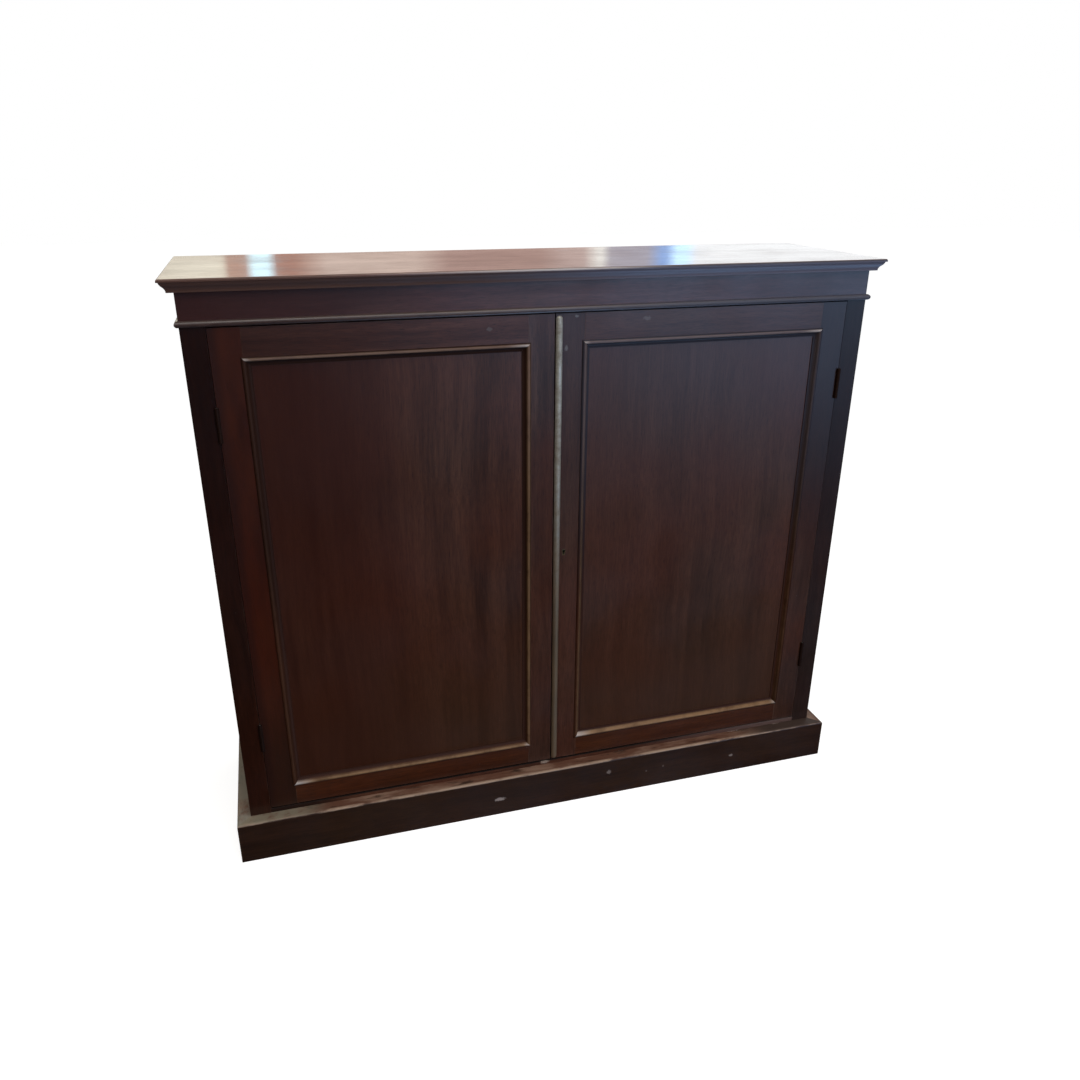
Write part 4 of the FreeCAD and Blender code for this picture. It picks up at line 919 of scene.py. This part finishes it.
def half_round_strip(name, node, material, body):
    """A half-round strip with domed ends, a little dented and not quite straight."""
    low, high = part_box(node)
    middle_x = (low.x + high.x) / 2
    half = (high.x - low.x) / 2
    proud = high.y - low.y
    length = high.z - low.z
    end_heights = [half * (1 - math.cos(QUARTER * step / strip_end_rings)) for step in range(strip_end_rings)]
    heights = [low.z + height for height in end_heights]
    heights += [low.z + half + (length - 2 * half) * step / strip_rings for step in range(strip_rings + 1)]
    heights += [high.z - height for height in reversed(end_heights)]
    circle = (half * half + proud * proud) / (2 * proud)
    reach = math.asin(half / circle)
    mesh = bmesh.new()
    rings = []
    for z in heights:
        from_end = min(z - low.z, high.z - z)
        dome = 1.0 if from_end >= half else math.sqrt(max(0.0, 1 - ((half - from_end) / half) ** 2))
        dome = max(dome, strip_least_dome)
        dent = strip_dent * max(0.0, noise.noise(Vector((z * dent_rate, 2.2, 0.0)))) * dome
        lean = strip_lean * noise.noise(Vector((z * lean_rate, 8.1, 0.0)))
        ring = []
        for step in range(strip_arc_steps + 1):
            angle = reach * (2 * step / strip_arc_steps - 1)
            x = circle * math.sin(angle) * dome * strip_width_share
            out = (circle * math.cos(angle) - circle + proud) * dome
            shown = min(1.0, out / (proud * strip_foot_share))
            ring.append(mesh.verts.new((middle_x + x + lean, high.y - max(0.0, out - dent * shown), z)))
        rings.append(ring)
    skin_rings(mesh, rings)
    piece = mesh_piece(name, mesh, material, body, strip_crease_angle)
    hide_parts(node)


strip_brass = aged_metal(
    "strip brass", (0.21, 0.18, 0.14), (0.66, 0.62, 0.53), metallic=0.7, roughness=0.42, tarnish=0.8,
    grain_scale=42.0, film_hides=0.55)
# The strip is more golden towards the foot.
layered(strip_brass, {"golden foot": ([("Z", 0.95, 0.35, 0.9)], (0.165, 0.100, 0.050), 0.5, 0.0)})
half_round_strip("meeting_strip", "brass_meeting_strip", strip_brass, "right_door")


def domed_pins(name, node, material, body):
    """Round pins with filed, slightly raised heads."""
    mesh = bmesh.new()
    for part in loose_parts(node):
        low, high = box_of(part)
        middle = (low + high) / 2
        outline = [(low.y - pin_dome, pin_crown_radius), (low.y - pin_dome / 3, pin_radius * 0.7),
                   (low.y + pin_shoulder, pin_radius), (high.y, pin_radius * 0.8)]
        skin_rings(mesh, [ring_round(mesh, y, reach, pin_steps,
                                     lambda x, z, out: (middle.x + x, out, middle.z + z))
                          for y, reach in outline])
    piece = mesh_piece(name, mesh, material, body, pin_crease_angle)
    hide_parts(node)


domed_pins("meeting_strip_pins", "strip_pins", strip_brass, "right_door")


# Keyhole lining, lock and its strike plate.
# A thin brass lining let in flush; the lock's box, cap and bolt are brass and iron, dark with oil.

escutcheon_brass = aged_metal("keyhole brass", (0.06, 0.04, 0.02), (0.30, 0.21, 0.10), roughness=0.35)
finish_node("keyhole_escutcheon", escutcheon_brass, round_over=0.0002)
lock_iron = aged_metal("lock iron", (0.035, 0.030, 0.026), (0.16, 0.14, 0.12), roughness=0.5)
finish_node("lock_case", lock_iron, round_over=0.0002)
finish_node("lock_cap", lock_iron, round_over=0.0002)
bolt_brass = aged_metal("lock bolt brass", (0.10, 0.065, 0.03), (0.42, 0.30, 0.14), roughness=0.32)
finish_node("lock_bolt", bolt_brass, round_over=0.0003)
finish_node("lock_strike_plate", bolt_brass, round_over=0.0002)


# Sliding bolts on the back of the left door, with their stapled plates and the keepers that take them.
# Brass; the bolts are brighter than their plates, and their knobs are turned.

plate_brass = aged_metal("bolt plate brass", (0.07, 0.045, 0.02), (0.32, 0.22, 0.10), roughness=0.38)
for name in ("top_bolt_plate", "bottom_bolt_plate", "top_bolt_keeper", "bottom_bolt_keeper"):
    finish_node(name, plate_brass, round_over=0.0003)
for name in ("top_bolt", "bottom_bolt"):
    finish_node(name, bolt_brass, round_over=0.0004, segments=3)


# The studio: a pale floor, a white backdrop and soft light, with a bright room reflected in the polish.
# The camera's lens and place were solved from the cabinet's straight edges in the photograph.

camera_data = bpy.data.cameras.new("Camera")
camera_data.sensor_fit = "HORIZONTAL"
camera_data.sensor_width = 36.0
camera_data.lens = 30.22
camera = add_object("Camera", camera_data)
camera_place = Vector((-0.4682, -1.6351, 1.2448))
camera_yaw = math.radians(16.506)
camera_pitch = math.radians(22.894)
camera_roll = math.radians(0.311)
camera.matrix_world = (
    Matrix.Translation(camera_place) @ Matrix.Rotation(-camera_yaw, 4, "Z")
    @ Matrix.Rotation(QUARTER - camera_pitch, 4, "X") @ Matrix.Rotation(camera_roll, 4, "Z"))
bpy.context.scene.camera = camera
bpy.context.scene.view_settings.view_transform = "Standard"

floor_reach = 14.0
floor_data = bpy.data.meshes.new("floor")
floor_corners = [(x * floor_reach, y * floor_reach, 0.0) for x, y in ((-1, -1), (1, -1), (1, 1), (-1, 1))]
floor_data.from_pydata(floor_corners, [], [(0, 1, 2, 3)])
floor = add_object("floor", floor_data)
floor_paint, floor_tree, floor_surface = start_finish("pale floor")
wire(floor_tree, floor_surface, {
    "Base Color": (0.55, 0.55, 0.545, 1.0), "Roughness": 0.9, "Specular IOR Level": 0.0,
    "Emission Color": (1.0, 1.0, 1.0, 1.0), "Emission Strength": 0.8})
floor_data.materials.append(floor_paint)
floor.visible_glossy = False
floor.visible_diffuse = False


def soft_light(name, place, target, size, power, colour, mirrored):
    """A large square light, which the polish mirrors or not."""
    data = bpy.data.lights.new(name, "AREA")
    data.shape = "SQUARE"
    data.size = size
    data.energy = power
    data.color = colour
    light = add_object(name, data)
    light.location = place
    light.rotation_euler = (Vector(target) - Vector(place)).to_track_quat("-Z", "Y").to_euler()
    light.visible_glossy = mirrored
    light.visible_camera = False


soft_light(
    "overhead", (0.1, -1.5, 3.0), (0.1, -0.2, 0.3), size=2.8, power=42.0, colour=(1.0, 0.97, 0.93),
    mirrored=True)
soft_light(
    "front fill", (0.8, -3.0, 0.5), (0.0, 0.0, 0.35), size=2.0, power=24.0, colour=(1.0, 0.96, 0.92),
    mirrored=False)


white = (1.0, 1.0, 1.0, 1.0)
window_colour = (0.38, 0.62, 1.0, 1.0)
window_strength = 2.1
wall_strength = 2.0
paving_share = 2.7


def studio_world():
    """White to the camera; reflections show a bright wall behind and a cool window low in front."""
    world = bpy.data.worlds.new("studio")
    bpy.context.scene.world = world
    world.use_nodes = True
    tree = world.node_tree
    tree.nodes.clear()
    direction = put(tree, "ShaderNodeTexCoord").outputs["Generated"]
    x, y, z = put(tree, "ShaderNodeSeparateXYZ", {"Vector": direction}).outputs
    behind_turn = math_node(tree, "ARCTAN2", x, y)
    front_turn = math_node(tree, "ARCTAN2", x, times(tree, y, -1.0))

    along_wall = put(tree, "ShaderNodeMapRange", {"Value": behind_turn, "From Min": -0.12, "From Max": 0.68})
    wall = put(tree, "ShaderNodeValToRGB", {"Fac": along_wall.outputs["Result"]})
    parts = {
        "cream wall": (0.0, 0.101, (0.50, 0.47, 0.39)), "post": (0.109, 0.129, (0.29, 0.18, 0.14)),
        "window": (0.139, 0.156, (0.52, 0.71, 0.78)), "dark corner": (0.168, 0.190, (0.24, 0.13, 0.10)),
        "lit wall": (0.230, 0.345, (0.38, 0.30, 0.26)), "red wall": (0.388, 0.510, (0.25, 0.168, 0.147)),
        "door edge": (0.540, 0.566, (0.31, 0.235, 0.215)), "pale frame": (0.586, 0.590, (0.52, 0.51, 0.48)),
        "grey door": (0.601, 0.650, (0.245, 0.235, 0.27)), "blue edge": (0.668, 0.674, (0.15, 0.25, 0.47)),
        "sky": (0.688, 0.700, (0.44, 0.64, 0.85)), "daylight": (0.712, 1.0, (0.56, 0.575, 0.585)),
    }
    stops = [(at, colour) for start, end, colour in parts.values() for at in (start, end)]
    ramp = wall.color_ramp
    ramp.elements[0].color = (*stops[0][1], 1.0)
    ramp.elements[1].color = (*stops[-1][1], 1.0)
    for at, colour in stops[1:-1]:
        ramp.elements.new(at).color = (*colour, 1.0)
    wall_share = times(tree, ranged(tree, z, -0.02, 0.02), ranged(tree, z, 0.75, 0.2))
    wall_share = times(tree, wall_share, ranged(tree, y, -0.1, 0.2))
    wall_colour = blended(tree, wall_share, (0.0, 0.0, 0.0, 1.0), wall.outputs["Color"])

    window = ranged(tree, front_turn, 0.0, 0.48)
    for value, edge, inside in ((front_turn, 1.3, 0.7), (z, -0.36, -0.06), (z, 0.6, 0.3), (y, 0.1, -0.2)):
        window = times(tree, window, ranged(tree, value, edge, inside))
    paving = times(tree, ranged(tree, z, -0.76, -0.89), ranged(tree, x, 0.0, 0.52, 0.0, paving_share))
    daylight = times(tree, math_node(tree, "ADD", window, paving), window_strength)

    room = blended(tree, ranged(tree, z, 0.0, 0.7), (0.012, 0.009, 0.007, 1.0), (0.30, 0.29, 0.28, 1.0))
    glows = ((room, 1.0), (wall_colour, wall_strength), (window_colour, daylight), (white, 1.0))
    glow, wall_glow, window_glow, backdrop = [
        put(tree, "ShaderNodeBackground", {"Color": colour, "Strength": strength}).outputs[0]
        for colour, strength in glows]
    both = put(tree, "ShaderNodeAddShader", {0: glow, 1: wall_glow}).outputs[0]
    every = put(tree, "ShaderNodeAddShader", {0: both, 1: window_glow}).outputs[0]
    seen = put(tree, "ShaderNodeMixShader", {
        0: put(tree, "ShaderNodeLightPath").outputs["Is Camera Ray"], 1: every, 2: backdrop})
    put(tree, "ShaderNodeOutputWorld", {"Surface": seen.outputs[0]})


studio_world()
